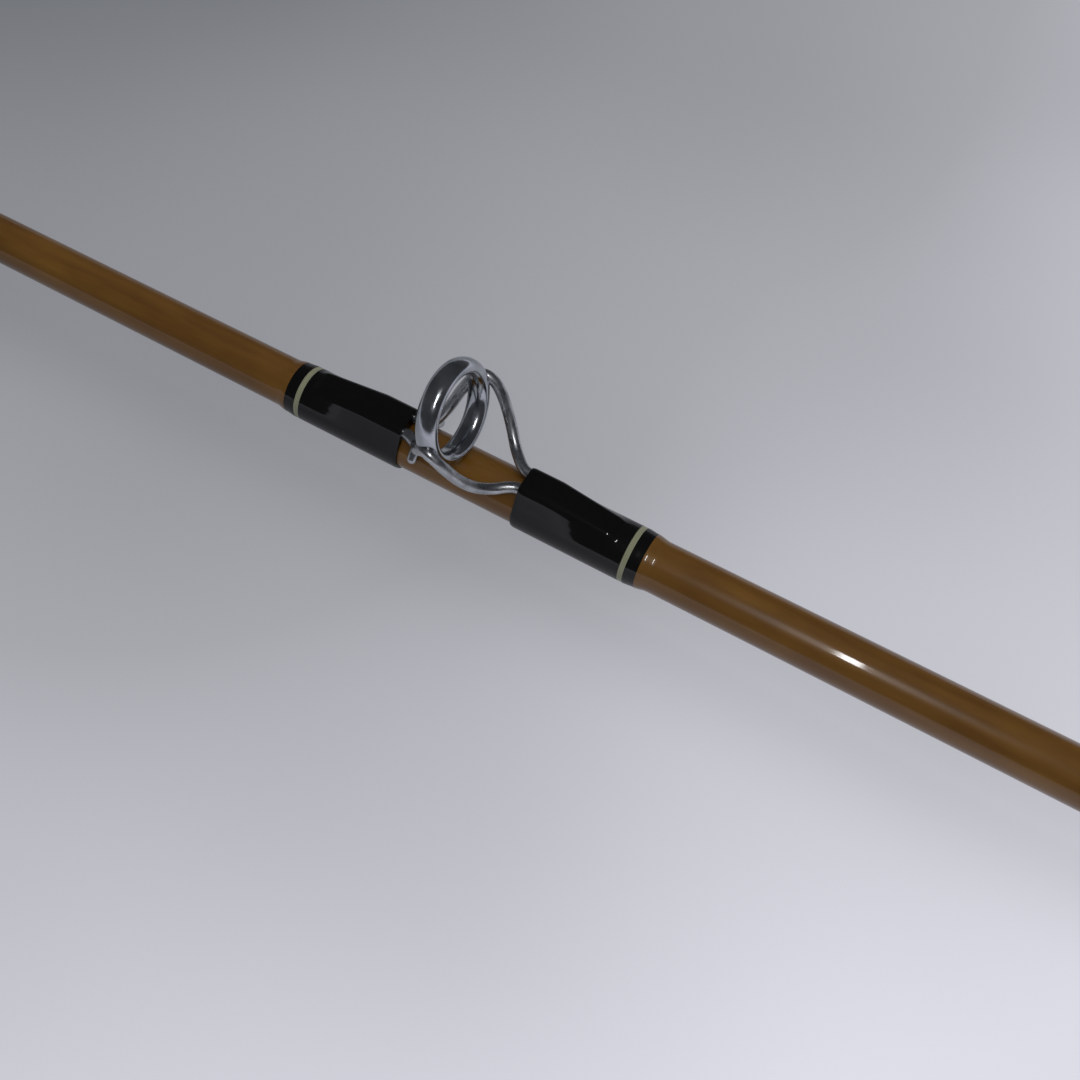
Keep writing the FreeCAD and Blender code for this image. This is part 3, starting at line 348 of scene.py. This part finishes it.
def bentWireTree():
    # round wire bent smoothly through a line of places, with its two ends ground thinner and rounded
    tree, given = startTree("bentWire", {"Wire Radius": "Float", "Ground Share": "Float", "End Scale": "Float",
                                         "Step": "Float", "Sides": "Int"})
    path = addNode(tree, "GeometryNodeMeshToCurve", {"Mesh": given["Geometry"]})
    smooth = addNode(tree, "GeometryNodeCurveSplineType", {"Curve": path}, spline_type="CATMULL_ROM")
    fine = addNode(tree, "GeometryNodeSetSplineResolution", {"Geometry": smooth, "Resolution": 24})
    even = addNode(tree, "GeometryNodeResampleCurve", {"Curve": fine, "Length": given["Step"]}, mode="LENGTH")
    along = addNode(tree, "GeometryNodeSplineParameter").outputs["Factor"]
    back = addNode(tree, "ShaderNodeMath", {0: 1.0, 1: along}, operation="SUBTRACT")
    nearest = addNode(tree, "ShaderNodeMath", {0: along, 1: back}, operation="MINIMUM")
    scale = addNode(tree, "ShaderNodeMapRange", {"Value": nearest, "From Max": given["Ground Share"],
                                                 "To Min": given["End Scale"]})
    ends = addNode(tree, "GeometryNodeCurveEndpointSelection")
    circle = addNode(tree, "GeometryNodeCurvePrimitiveCircle", {"Resolution": given["Sides"],
                                                                "Radius": given["Wire Radius"]})
    wire = addNode(tree, "GeometryNodeCurveToMesh", {"Curve": even, "Profile Curve": circle, "Scale": scale,
                                                     "Fill Caps": True})
    ball = addNode(tree, "GeometryNodeMeshUVSphere", {"Segments": 24, "Rings": 16,
                                                      "Radius": given["Wire Radius"]})
    tips = addNode(tree, "GeometryNodeInstanceOnPoints", {"Points": even, "Selection": ends, "Instance": ball,
                                                          "Scale": given["End Scale"]})
    both = addNode(tree, "GeometryNodeJoinGeometry", {"Geometry": wire})
    tree.links.new(tips.outputs[0], both.inputs["Geometry"])
    return endTree(tree, given, both)


def threadTurnsTree():
    # turns of thread laid side by side along X
    tree, given = startTree("threadTurns", {"Radius": "Float", "Thread Radius": "Float", "Pitch": "Float",
                                            "Turns": "Int", "Centre": "Float"})
    circle = addNode(tree, "GeometryNodeCurvePrimitiveCircle", {"Resolution": 96, "Radius": given["Radius"]})
    section = addNode(tree, "GeometryNodeCurvePrimitiveCircle", {"Resolution": 10,
                                                                 "Radius": given["Thread Radius"]})
    turn = addNode(tree, "GeometryNodeCurveToMesh", {"Curve": circle, "Profile Curve": section})
    upright = addNode(tree, "GeometryNodeTransform", {"Geometry": turn, "Rotation": (0, math.pi / 2, 0)})
    gaps = addNode(tree, "ShaderNodeMath", {0: given["Turns"], 1: 1.0}, operation="SUBTRACT")
    width = addNode(tree, "ShaderNodeMath", {0: gaps, 1: given["Pitch"]}, operation="MULTIPLY")
    half = addNode(tree, "ShaderNodeMath", {0: width, 1: 0.5}, operation="MULTIPLY")
    first = addNode(tree, "ShaderNodeMath", {0: given["Centre"], 1: half}, operation="SUBTRACT")
    start = addNode(tree, "ShaderNodeCombineXYZ", {"X": first})
    step = addNode(tree, "ShaderNodeCombineXYZ", {"X": given["Pitch"]})
    row = addNode(tree, "GeometryNodeMeshLine", {"Count": given["Turns"], "Start Location": start,
                                                 "Offset": step})
    laid = addNode(tree, "GeometryNodeInstanceOnPoints", {"Points": row, "Instance": upright})
    return endTree(tree, given, laid)


def grow(tree, sizes, slotName, points=()):
    # run a tree on a line of points, in mm, and return its plain mesh
    base = bpy.data.meshes.new("base")
    edges = [(i, i + 1) for i in range(len(points) - 1)]
    base.from_pydata([tuple(Vector(p) * mm) for p in points], edges, [])
    helper = bpy.data.objects.new("helper", base)
    scene.collection.objects.link(helper)
    modifier = helper.modifiers.new("grow", "NODES")
    modifier.node_group = tree
    names = {item.name: item.identifier for item in tree.interface.items_tree
             if item.item_type == "SOCKET" and item.in_out == "INPUT"}
    for size, value in sizes.items():
        modifier[names[size]] = value
    modifier[names["Finish"]] = finishes[slotName]
    helper.update_tag()
    bpy.context.view_layer.update()
    evaluated = helper.evaluated_get(bpy.context.evaluated_depsgraph_get())
    mesh = bpy.data.meshes.new_from_object(evaluated)
    bpy.data.objects.remove(helper)
    finishMesh(mesh)
    return mesh


taperedTube = taperedTubeTree()
bentWire = bentWireTree()
threadTurns = threadTurnsTree()


# ---- blank ----

blank = {"stations": 60, "sides": 96, "buttWall": 1.2, "tipWall": 1.0}


def endRadius(node, x):
    points = [vertex.co / mm for vertex in frame["nodes"][node].data.vertices]
    return max(math.hypot(p.y, p.z) for p in points if abs(p.x - x) < 0.2)


buttStart, buttEnd = corners("butt_blank")[0].x, corners("butt_blank")[1].x
tipStart, rodEnd = corners("tip_blank")[0].x, corners("tip_blank")[1].x
tipRadius = endRadius("tip_blank", rodEnd)
taper = (endRadius("butt_blank", buttStart) - tipRadius) / (rodEnd - buttStart)


def blankRadius(x):
    return tipRadius + (rodEnd - x) * taper


def makeBlank(name, start, end, wall, node):
    mesh = grow(taperedTube, {"Start": start * mm, "End": end * mm, "Start Radius": blankRadius(start) * mm,
                              "End Radius": blankRadius(end) * mm, "Stations": blank["stations"],
                              "Sides": blank["sides"]}, "lacquered_fibreglass")
    piece = addPiece(name, mesh, "lacquered_fibreglass", bodyOf[node], node)
    tube = piece.modifiers.new("wall", "SOLIDIFY")
    tube.thickness = wall * mm
    tube.offset = -1
    return piece


makeBlank("buttBlank", buttStart, buttEnd, blank["buttWall"], "butt_blank")
makeBlank("tipBlank", tipStart, rodEnd, blank["tipWall"], "tip_blank")
print("blank made")


# ---- thread wraps ----

wrap = {
    "build": 0.5,            # thread and coat on the radius, mm
    "endBuild": 0.34,
    "shoulder": 2.0,         # length over which the coat reaches its full build
    "runOut": 2.2,           # how far the coat flows out past the thread
    "innerRunOut": 0.7,
    "bandWidth": 1.0,
    "bandInset": 2.6,
    "bandTurns": 5,
    "sides": 96,
    "step": 0.6,
}
bandThread = {"radius": 0.125, "pitch": 0.2}


def pulledRadius(angle, circles):
    # how far out thread lies when it is pulled tight round circles of (y, z, radius)
    nearest = math.inf
    for step in range(-30, 31):
        tilt = angle + math.radians(2 * step)
        reach = max(y * math.cos(tilt) + z * math.sin(tilt) + r for y, z, r in circles)
        nearest = min(nearest, reach / math.cos(tilt - angle))
    return nearest


def coatBuild(depth):
    # build of thread and coat at a depth inside the wrap's outer end; negative is the coat's run-out
    if depth < 0:
        return wrap["endBuild"] * smoothstep(1 + depth / wrap["runOut"])
    return wrap["endBuild"] + (wrap["build"] - wrap["endBuild"]) * smoothstep(depth / wrap["shoulder"])


def stationsBetween(start, end, step):
    count = max(2, math.ceil(abs(end - start) / step))
    return [start + (end - start) * i / count for i in range(count + 1)]


def woundMesh(stations, outlineAt):
    # a sleeve on the blank; outlineAt gives the outside radius at a place and an angle
    turns = [2 * math.pi * i / wrap["sides"] for i in range(wrap["sides"])]
    outside = []
    for x in stations:
        radii = outlineAt(x, turns)
        outside.append([(x, r * math.cos(a), r * math.sin(a)) for r, a in zip(radii, turns)])
    inside = []
    for x in (stations[-1], stations[0]):
        r = blankRadius(x) - 0.05
        inside.append([(x, r * math.cos(a), r * math.sin(a)) for a in turns])
    return ringedMesh(outside + inside)


def plainOutline(outerEnd, inward, cover=0.0):
    def outlineAt(x, turns):
        return [blankRadius(x) + cover + coatBuild((x - outerEnd) * inward) + 0.01] * len(turns)
    return outlineAt


def bandMesh(centre):
    radius = blankRadius(centre) + wrap["build"] - bandThread["radius"] + 0.005
    return grow(threadTurns, {"Radius": radius * mm, "Thread Radius": bandThread["radius"] * mm,
                              "Pitch": bandThread["pitch"] * mm, "Turns": wrap["bandTurns"],
                              "Centre": centre * mm}, "pale_thread")


def makePlainWrap(outerEnd, innerEnd, cover=0.0, banded=True):
    # thread meshes and band meshes of one wrap on the bare blank
    inward = 1 if innerEnd > outerEnd else -1
    outline = plainOutline(outerEnd, inward, cover)
    bandStart = outerEnd + inward * (wrap["bandInset"] - wrap["bandWidth"] / 2)
    bandEnd = outerEnd + inward * (wrap["bandInset"] + wrap["bandWidth"] / 2)
    if not banded:
        return [woundMesh(stationsBetween(outerEnd, innerEnd, wrap["step"]), outline)], []
    threads = [woundMesh(stationsBetween(outerEnd, bandStart, 0.4), outline),
               woundMesh(stationsBetween(bandEnd, innerEnd, wrap["step"]), outline)]
    return threads, [bandMesh((bandStart + bandEnd) / 2)]


def coatCollar(outerEnd, inward, cover=0.0):
    # clear coat run out over the bare blank beyond the thread
    return woundMesh(stationsBetween(outerEnd - inward * wrap["runOut"], outerEnd, 0.15),
                     plainOutline(outerEnd, inward, cover))


# ---- guides ----

guides = {
    "factors": (1.00, 0.82, 0.70, 0.60, 0.52),       # each guide's size against the first
    "wireRadii": (1.0, 0.85, 0.75, 0.65, 0.55),
    "ringHalfThickness": (1.45, 1.25, 1.1, 0.95, 0.85),
    "ringStations": 144,      # steps around the ring
    "ringSides": 36,          # steps around its section
    "ringBand": 1.4,          # the ring's width along the rod over its thickness
    "lean": 0.20,             # radians, the ring's top towards the tip
    "ringAhead": 1.1,         # ring centre beyond the guide's place
    "buttLegReach": 11.8,
    "tipLegReach": 9.8,
    "buttFootEnd": 30.0,
    "tipFootEnd": 27.5,
    "buttHalfGap": 1.6,       # half the distance between the two feet
    "tipHalfGap": 1.8,
    "buttWrap": (13.1, 36.8),
    "tipWrap": (9.7, 33.0),
    "groundTo": 0.3,          # what is left of the wire's thickness at the foot's end
    "groundShare": 0.15,      # share of each side's wire that is ground, at either end
    # the legs between foot and ring: reach along the rod, out to the side and up, as shares
    "buttLeg": ((1.12, 0.02, 0.0), (0.96, 0.10, 0.0), (0.81, 0.29, 0.01), (0.68, 0.48, 0.08),
                (0.55, 0.68, 0.235), (0.40, 0.86, 0.475), (0.25, 0.98, 0.74), (0.11, 1.03, 0.93)),
    "tipLeg": ((1.02, 0.0, 0.0), (0.82, 0.06, 0.0), (0.65, 0.19, 0.03), (0.51, 0.44, 0.27),
               (0.38, 0.73, 0.62), (0.24, 0.93, 0.89), (0.06, 1.01, 1.02)),
    "saddleReach": 6.5,
    "saddleHalfAngle": 56,
    "saddleWire": 0.9,
}


def footHeight(place, reach, gap, wire):
    radius = max(blankRadius(place), blankRadius(place + reach)) + wire + 0.02
    return math.sqrt(radius * radius - gap * gap)


def guideSizes(number):
    factor = guides["factors"][number - 1]
    centre = middleOf("guide_%d_ring" % number)
    wire = guides["wireRadii"][number - 1]
    half = guides["ringHalfThickness"][number - 1]
    low, high = corners("guide_%d_ring" % number)
    place = centre.x - guides["ringAhead"] * factor
    tipGap = max(guides["tipHalfGap"] * factor, 1.1 * wire)
    buttGap = max(guides["buttHalfGap"] * factor, 1.1 * wire)
    return {"factor": factor, "wire": wire, "half": half, "place": place, "centre": centre,
            "ringRadius": (high.y - low.y) / 2 - half, "tipGap": tipGap, "buttGap": buttGap,
            "tipZ": footHeight(place, 0, tipGap, wire),
            "buttZ": footHeight(place, -guides["buttFootEnd"] * factor, buttGap, wire)}


def groundFoot(size, reach, buttSide):
    # a foot's wire radius and height at a reach: full up to where the thread covers it, then ground thinner
    start, end = footCover(size, buttSide)
    gone = 1 - guides["groundTo"]
    wire = size["wire"] * (1 - gone * min(1.0, max(0.0, (reach - start) / (end - start))))
    gap, footZ = (size["buttGap"], size["buttZ"]) if buttSide else (size["tipGap"], size["tipZ"])
    return wire, gap, footZ - (size["wire"] - wire)


def footCover(size, buttSide):
    inner = guides["buttWrap" if buttSide else "tipWrap"][0]
    end = guides["buttFootEnd" if buttSide else "tipFootEnd"]
    return (0.35 * end + 0.65 * inner) * size["factor"], end * size["factor"]


def sideWire(size, side):
    # one bent wire from the butt-side foot, up round the ring's side, and down to the tip-side foot
    outward = size["ringRadius"] + 0.93 * size["half"]
    path = []
    for buttSide, legReach, leg in ((True, guides["buttLegReach"], guides["buttLeg"]),
                                    (False, guides["tipLegReach"], guides["tipLeg"])):
        sign = -1 if buttSide else 1
        gap, footZ = (size["buttGap"], size["buttZ"]) if buttSide else (size["tipGap"], size["tipZ"])
        start, end = footCover(size, buttSide)
        half = []
        for reach in (end, (start + end) / 2, start):
            half.append((size["place"] + sign * reach, side * gap, groundFoot(size, reach, buttSide)[2]))
        for reach, out, up in leg:
            half.append((size["place"] + sign * reach * legReach * size["factor"],
                         side * (gap + out * (outward - gap)), footZ + up * (size["centre"].z - footZ)))
        path += half if buttSide else half[::-1]
    return path


def wireMesh(points, radius, groundShare=0.001, endScale=1.0):
    return grow(bentWire, {"Wire Radius": radius * mm, "Ground Share": groundShare, "End Scale": endScale,
                           "Step": 0.3 * mm, "Sides": 28}, "chromed_wire", points)


def ovalRing(size):
    # the ring: an oval section turned about a leaning axis
    lean = Matrix.Rotation(guides["lean"], 3, "Y")
    rings = []
    stations, sides = guides["ringStations"], guides["ringSides"]
    for i in range(stations):
        turn = 2 * math.pi * i / stations
        ring = []
        for j in range(sides):
            angle = 2 * math.pi * j / sides
            radius = size["ringRadius"] + size["half"] * math.cos(angle)
            along = guides["ringBand"] * size["half"] * math.sin(angle)
            place = Vector((along, radius * math.cos(turn), radius * math.sin(turn)))
            ring.append(size["centre"] + lean @ place)
        rings.append(ring)
    return ringedMesh(rings)


def saddlePath(size):
    # the cross wire hugs the blank under the tip-side legs
    radius = blankRadius(size["place"]) + guides["saddleWire"] + 0.02
    x = size["place"] + guides["saddleReach"]
    half = guides["saddleHalfAngle"]
    angles = [math.radians(-half + 2 * half * i / 12) for i in range(13)]
    return [(x, radius * math.sin(a), radius * math.cos(a)) for a in angles]


def footedOutline(size, buttSide, inner, outer):
    # the outside of a wrap that goes over two ground feet and lies flat beyond them
    direction = -1 if buttSide else 1
    footEnd = footCover(size, buttSide)[1]

    def outlineAt(x, turns):
        reach = (x - size["place"]) * direction
        build = coatBuild(outer - reach) * (0.75 + 0.25 * smoothstep((reach - inner) / 0.5))
        core = blankRadius(x) + build + 0.01
        if reach > footEnd + 1.5:
            return [core] * len(turns)
        wire, gap, footZ = groundFoot(size, reach, buttSide)
        sink = 2 * wire * smoothstep((reach - footEnd) / 1.5)
        circles = [(0, 0, core), (gap, footZ - sink, wire + build), (-gap, footZ - sink, wire + build)]
        return [pulledRadius(a, circles) for a in turns]
    return outlineAt


def guideWrap(size, direction):
    # thread, band and coat meshes of one guide wrap; direction is -1 on the butt side
    buttSide = direction < 0
    span = guides["buttWrap"] if buttSide else guides["tipWrap"]
    inner, outer = span[0] * size["factor"], span[1] * size["factor"]
    outline = footedOutline(size, buttSide, inner, outer)
    bandOuter = outer - wrap["bandInset"] + wrap["bandWidth"] / 2
    bandInner = outer - wrap["bandInset"] - wrap["bandWidth"] / 2

    def places(start, end, step):
        return [size["place"] + direction * reach for reach in stationsBetween(start, end, step)]

    inside = places(inner, inner + 1, 0.2)[:-1] + places(inner + 1, bandInner, wrap["step"])
    threads = [woundMesh(inside, outline),
               woundMesh(places(bandOuter, outer, 0.3), outline)]
    outerEnd = size["place"] + direction * outer
    return threads, [bandMesh(size["place"] + direction * (bandOuter + bandInner) / 2)], [
        coatCollar(outerEnd, -direction)]


bandMeshes = {"rod": [], "tip_section": []}
for number in range(1, 6):
    size = guideSizes(number)
    prefix = "guide%d" % number
    node = "guide_%d_" % number
    body = bodyOf[node + "ring"]
    wires = [wireMesh(sideWire(size, side), size["wire"], guides["groundShare"], guides["groundTo"])
             for side in (-1, 1)]
    if number == 1:
        wires.append(wireMesh(saddlePath(size), guides["saddleWire"]))
    addPiece(prefix + "Frame", joinedMesh(wires), "chromed_wire", body, node + "frame")
    addPiece(prefix + "Ring", ovalRing(size), "hard_chrome", body, node + "ring")
    threads, coats = [], []
    for direction in (-1, 1):
        newThreads, newBands, newCoats = guideWrap(size, direction)
        threads += newThreads
        coats += newCoats
        bandMeshes[body] += newBands
    addPiece(prefix + "Wraps", joinedMesh(threads), "black_thread", body, node + "wraps")
    addPiece(prefix + "Coat", joinedMesh(coats), "lacquered_fibreglass", body)
print("guides made")


# ---- ferrule and hook keeper wraps ----

keeper = {"wire": 0.6, "lift": 4.6, "halfLength": 5.0}
ferruleWrap = 24.0


def makeFerruleWraps():
    buttThread, buttBand = makePlainWrap(buttEnd - ferruleWrap, buttEnd)
    tipThread, tipBand = makePlainWrap(tipStart + ferruleWrap, tipStart)
    bandMeshes["rod"] += buttBand
    bandMeshes["tip_section"] += tipBand
    middle = middleOf("hook_keeper").x
    near = keeper["halfLength"]
    cover = 2 * keeper["wire"]
    for outer, inner in ((middle - 2 * near - 2, middle - near), (middle + 2 * near + 2, middle + near)):
        buttThread += makePlainWrap(outer, inner, 0.9 * cover, False)[0]
    addPiece("buttWraps", joinedMesh(buttThread), "black_thread", "rod", "butt_wraps")
    addPiece("tipWraps", joinedMesh(tipThread), "black_thread", "tip_section", "tip_wraps")
    addPiece("buttTrimBands", joinedMesh(bandMeshes["rod"]), "pale_thread", "rod", "butt_trim_bands")
    addPiece("tipTrimBands", joinedMesh(bandMeshes["tip_section"]), "pale_thread", "tip_section",
             "tip_trim_bands")
    addPiece("buttFerruleCoat", coatCollar(buttEnd - ferruleWrap, 1), "lacquered_fibreglass", "rod")
    addPiece("tipFerruleCoat", coatCollar(tipStart + ferruleWrap, -1), "lacquered_fibreglass", "tip_section")


def makeHookKeeper():
    low, high = corners("hook_keeper")
    middle = (low.x + high.x) / 2
    base = high.z - keeper["wire"]
    top = low.z + keeper["wire"]
    near = keeper["halfLength"]
    points = [(middle - 2 * near, 0, base), (middle - 0.8 * near, 0, base), (middle - 0.5 * near, 0, top),
              (middle + 0.5 * near, 0, top), (middle + 0.8 * near, 0, base), (middle + 2 * near, 0, base)]
    addPiece("hookKeeper", wireMesh(points, keeper["wire"]), "chromed_wire", "rod", "hook_keeper")


makeFerruleWraps()
makeHookKeeper()
print("wraps made")


# ---- grips and butt cap ----

cork = {"ringLength": 12.5, "grooveDepth": 0.28, "grooveWidth": 0.8, "step": 0.5,
        "edge": 2.0, "foreEdgeShare": 0.6, "shoulderShare": 0.45, "frontRise": 0.6}
turnedSides = 128


def corkProfile(start, end, radiusAt):
    # the outside of glued cork rings, with a fine groove at each joint
    profile = []
    for x in stationsBetween(start, end, cork["step"]):
        off = abs((x - start + cork["ringLength"] / 2) % cork["ringLength"] - cork["ringLength"] / 2)
        groove = cork["grooveDepth"] * (1 - smoothstep(off / cork["grooveWidth"]))
        profile.append((x, radiusAt(x) - groove))
    return profile


def makeGrips():
    high = corners("rear_grip")[1]
    capEnd = corners("butt_cap")[1].x
    radius = high.y
    edge = cork["edge"]

    def rearRadius(x):
        return radius - edge * (1 - math.sqrt(max(0.0, 1 - (1 - min(1, (high.x - x) / edge)) ** 2)))

    rear = corkProfile(capEnd - 1, high.x, rearRadius)
    rear += [(high.x, blankRadius(high.x)), (capEnd - 1, blankRadius(capEnd))]
    addPiece("rearGrip", turnedMesh(rear, turnedSides), "cork", "rod", "rear_grip")
    low, high = corners("fore_grip")
    rearSide, front = high.y, endRadius("fore_grip", high.x)
    foreEdge = cork["foreEdgeShare"] * edge
    shoulder = low.x + cork["shoulderShare"] * (high.x - low.x)

    def foreRadius(x):
        ease = smoothstep((x - shoulder) / (high.x - shoulder))
        ends = min(1, (x - low.x) / edge), min(1, (high.x - x) / foreEdge)
        rounding = sum(1 - math.sqrt(max(0.0, 1 - (1 - e) ** 2)) for e in ends)
        return rearSide + (front + cork["frontRise"] - rearSide) * ease - foreEdge * rounding

    fore = corkProfile(low.x, high.x, foreRadius)
    fore += [(high.x, blankRadius(high.x)), (low.x, blankRadius(low.x))]
    addPiece("foreGrip", turnedMesh(fore, turnedSides), "cork", "rod", "fore_grip")


buttCap = {"edge": 3.0, "floor": 4.0, "bore": 13.3, "grooves": (10.0, 14.0, 18.0),
           "grooveReach": 0.9, "grooveDepth": 0.7}


def makeButtCap():
    # moulded rubber cap with a domed edge and three shallow gripping grooves
    high = corners("butt_cap")[1]
    radius, edge, floor, bore = high.y, buttCap["edge"], buttCap["floor"], buttCap["bore"]
    profile = [(0, 0), (0, radius - edge)]
    profile += [(edge - edge * math.cos(a), radius - edge + edge * math.sin(a))
                for a in (math.radians(15 * i) for i in range(1, 7))]
    halfTurn = [math.pi * i / 8 for i in range(9)]
    for groove in buttCap["grooves"]:
        profile += [(groove + buttCap["grooveReach"] * math.cos(a + math.pi),
                     radius - buttCap["grooveDepth"] * math.sin(a)) for a in halfTurn]
    profile += [(high.x - 1, radius), (high.x - 0.3, radius - 0.3), (high.x, radius - 1),
                (high.x, bore), (floor, bore), (floor, 0)]
    addPiece("buttCap", turnedMesh(profile, turnedSides), "black_rubber", "rod", "butt_cap")


makeGrips()
makeButtCap()
print("grips made")


# ---- hardware and reel: the frame's shapes with eased edges ----

easedEdges = {     # node: how far its edges are eased, mm
    "reel_seat": 0.12, "fixed_hood": 0.5, "sliding_hood": 0.5, "lock_nut": 0.25, "winding_check": 0.25,
    "tip_top_frame": 0.08, "tip_top_ring": 0.0, "reel_foot": 0.4, "left_ring": 0.4, "right_ring": 0.4,
    "frame_posts": 0.2, "plate_screws": 0.15, "bridge_plate": 0.15, "right_plate": 0.4, "left_plate": 0.4,
    "left_bearing_cap": 0.4, "right_bearing_cap": 0.3, "spool": 0.3, "star_drag": 0.4, "crank_arm": 0.5,
    "handle_nut": 0.35, "knob_spindle": 0.2, "crank_knob": 0.5, "free_spool_lever": 0.4,
    "click_button": 0.3, "ferrule_spigot": 0.1,
}


def easedCopy(node, width):
    mesh = frame["nodes"][node].data.copy()
    mesh.materials.clear()
    bm = bmesh.new()
    bm.from_mesh(mesh)
    bmesh.ops.remove_doubles(bm, verts=bm.verts, dist=1e-6)
    bmesh.ops.dissolve_limit(bm, angle_limit=math.radians(0.5), verts=bm.verts, edges=bm.edges)
    bm.to_mesh(mesh)
    bm.free()
    mesh.polygons.foreach_set("use_smooth", [True] * len(mesh.polygons))
    mesh.set_sharp_from_angle(angle=math.radians(32))
    words = node.split("_")
    name = words[0] + "".join(word.capitalize() for word in words[1:])
    piece = addPiece(name, mesh, slotOf[node], bodyOf[node], node)
    if width:
        bevel = piece.modifiers.new("easedEdges", "BEVEL")
        bevel.width = width * mm
        bevel.segments = 2
        bevel.limit_method = "ANGLE"
        bevel.angle_limit = math.radians(32)
        bevel.harden_normals = True
    return piece


for node, width in easedEdges.items():
    easedCopy(node, width)
for node, piece in frame["nodes"].items():
    piece.data.materials.clear()
    piece.data.materials.append(finishes[slotOf[node]])
print("hardware made")


# ---- floor, light and camera ----

view = {
    "target": (663.16, 0.0, -9.81),     # mm
    "swing": 24.65,                     # degrees from +Y towards -X
    "lift": 57.52,
    "roll": 5.64,
    "distance": 268.7,
    "lens": 50.95,
}


def makeCamera():
    swing, lift = math.radians(view["swing"]), math.radians(view["lift"])
    back = Vector((-math.sin(swing) * math.cos(lift), math.cos(swing) * math.cos(lift), math.sin(lift)))
    right = Vector((0, 0, 1)).cross(back).normalized()
    up = back.cross(right)
    turn = Matrix((right, up, back)).transposed() @ Matrix.Rotation(math.radians(view["roll"]), 3, "Z")
    data = bpy.data.cameras.new("camera")
    data.lens = view["lens"]
    data.sensor_width = 36
    data.clip_start, data.clip_end = 0.01, 100
    camera = bpy.data.objects.new("camera", data)
    scene.collection.objects.link(camera)
    camera.matrix_world = turn.to_4x4()
    camera.location = (Vector(view["target"]) + back * view["distance"]) * mm
    scene.camera = camera


floorLook = {
    # the floor's colour runs from dim at the pool's centre through middle to pale: painted shade, darker
    # nearer the centre
    "pale": "#dcdce6",
    "middle": "#a6a7ad",
    "dim": "#73767b",                # painted shade: a soft pool of darker floor colour beside the rod, cast by nothing
    "poolCentre": (900.0, -150.0),   # mm
    "poolReach": 400.0,              # where the painted shade pool has faded out
    "evened": 0.5,                   # share of the board's brightness that the shadow leaves alone
}


def floorWithPaintedShade():
    # plain painted board, with painted shade: its colour darkens in a soft pool beside the rod, the pool's
    # edge made uneven by noise
    material, tree, place = startMaterial("paintedBoard")
    centre = (*(Vector(floorLook["poolCentre"]) * mm), cadBounds[0].z)
    away = addNode(tree, "ShaderNodeVectorMath", {0: place, 1: centre}, operation="DISTANCE")
    reach = addNode(tree, "ShaderNodeMath", {0: away.outputs["Value"], 1: floorLook["poolReach"] * mm},
                    operation="DIVIDE")
    clouds = addNode(tree, "ShaderNodeTexNoise", {"Vector": place, "Scale": 9.0, "Detail": 1.0})
    drift = addNode(tree, "ShaderNodeMapRange", {"Value": clouds, "To Min": -0.1, "To Max": 0.1})
    value = addNode(tree, "ShaderNodeMath", {0: reach, 1: drift}, operation="ADD")
    # painted shade: the colour darkens from pale to dim towards the pool's centre
    colour = ramp(tree, value, floorLook["dim"], floorLook["pale"], 0.22, 1.0)
    middle = colour.color_ramp.elements.new(0.68)
    middle.color = toLinear(floorLook["middle"])
    board = addNode(tree, "ShaderNodeBsdfDiffuse", {"Color": colour})
    # for camera and glossy rays the board also glows with its own colour, painted shade pool included, at the
    # evened share, so the rod's shadow on it shows only half as deep
    lit = addNode(tree, "ShaderNodeEmission", {"Color": colour, "Strength": 1.0})
    path = addNode(tree, "ShaderNodeLightPath")
    looked = addNode(tree, "ShaderNodeMath", {0: path.outputs["Is Camera Ray"],
                                              1: path.outputs["Is Glossy Ray"]}, operation="MAXIMUM")
    share = addNode(tree, "ShaderNodeMath", {0: looked, 1: floorLook["evened"]}, operation="MULTIPLY")
    shader = addNode(tree, "ShaderNodeMixShader", {0: share, 1: board, 2: lit})
    return endMaterial(material, tree, shader)


def makeFloor():
    mesh = bpy.data.meshes.new("floor")
    z = cadBounds[0].z
    reach = 6.0
    mesh.from_pydata([(-reach, -reach, z), (reach, -reach, z), (reach, reach, z), (-reach, reach, z)], [],
                     [(0, 1, 2, 3)])
    mesh.materials.append(floorWithPaintedShade())
    floor = bpy.data.objects.new("floor", mesh)
    scene.collection.objects.link(floor)


def addLamp(name, place, target, size, power, glossy=True):
    # an oblong lamp at a place, in mm, facing a target
    data = bpy.data.lights.new(name, "AREA")
    data.shape = "RECTANGLE"
    data.size, data.size_y = size[0] * mm, size[1] * mm
    data.energy = power
    lamp = bpy.data.objects.new(name, data)
    scene.collection.objects.link(lamp)
    lamp.location = Vector(place) * mm
    lamp.rotation_mode = "QUATERNION"
    lamp.rotation_quaternion = (Vector(place) - Vector(target)).to_track_quat("Z", "Y")
    lamp.visible_camera = False
    lamp.visible_glossy = glossy
    return lamp


def makeLight():
    centre = (915.0, 0.0, 0.0)
    addLamp("key", (915, -900, 2600), centre, (2400, 2400), 22.0, glossy=False)
    addLamp("glint", (611, 96, 236), (611, 0, 0), (9, 90), 0.14)
    world = bpy.data.worlds.new("studio")
    scene.world = world
    world.use_nodes = True
    tree = world.node_tree
    tree.nodes.clear()
    path = addNode(tree, "ShaderNodeLightPath")
    soft = addNode(tree, "ShaderNodeBackground", {"Color": toLinear("#ffffff"), "Strength": 0.66})
    dim = addNode(tree, "ShaderNodeBackground", {"Color": toLinear("#f4f6ff"), "Strength": 0.07})
    seen = addNode(tree, "ShaderNodeBackground", {"Color": toLinear("#d3d3da"), "Strength": 1.0})
    glossy = addNode(tree, "ShaderNodeMixShader", {0: path.outputs["Is Glossy Ray"], 1: soft, 2: dim})
    shown = addNode(tree, "ShaderNodeMixShader", {0: path.outputs["Is Camera Ray"], 1: glossy, 2: seen})
    addNode(tree, "ShaderNodeOutputWorld", {"Surface": shown})


makeFloor()
makeLight()
makeCamera()
scene.view_settings.view_transform = "Standard"
print("stage made")
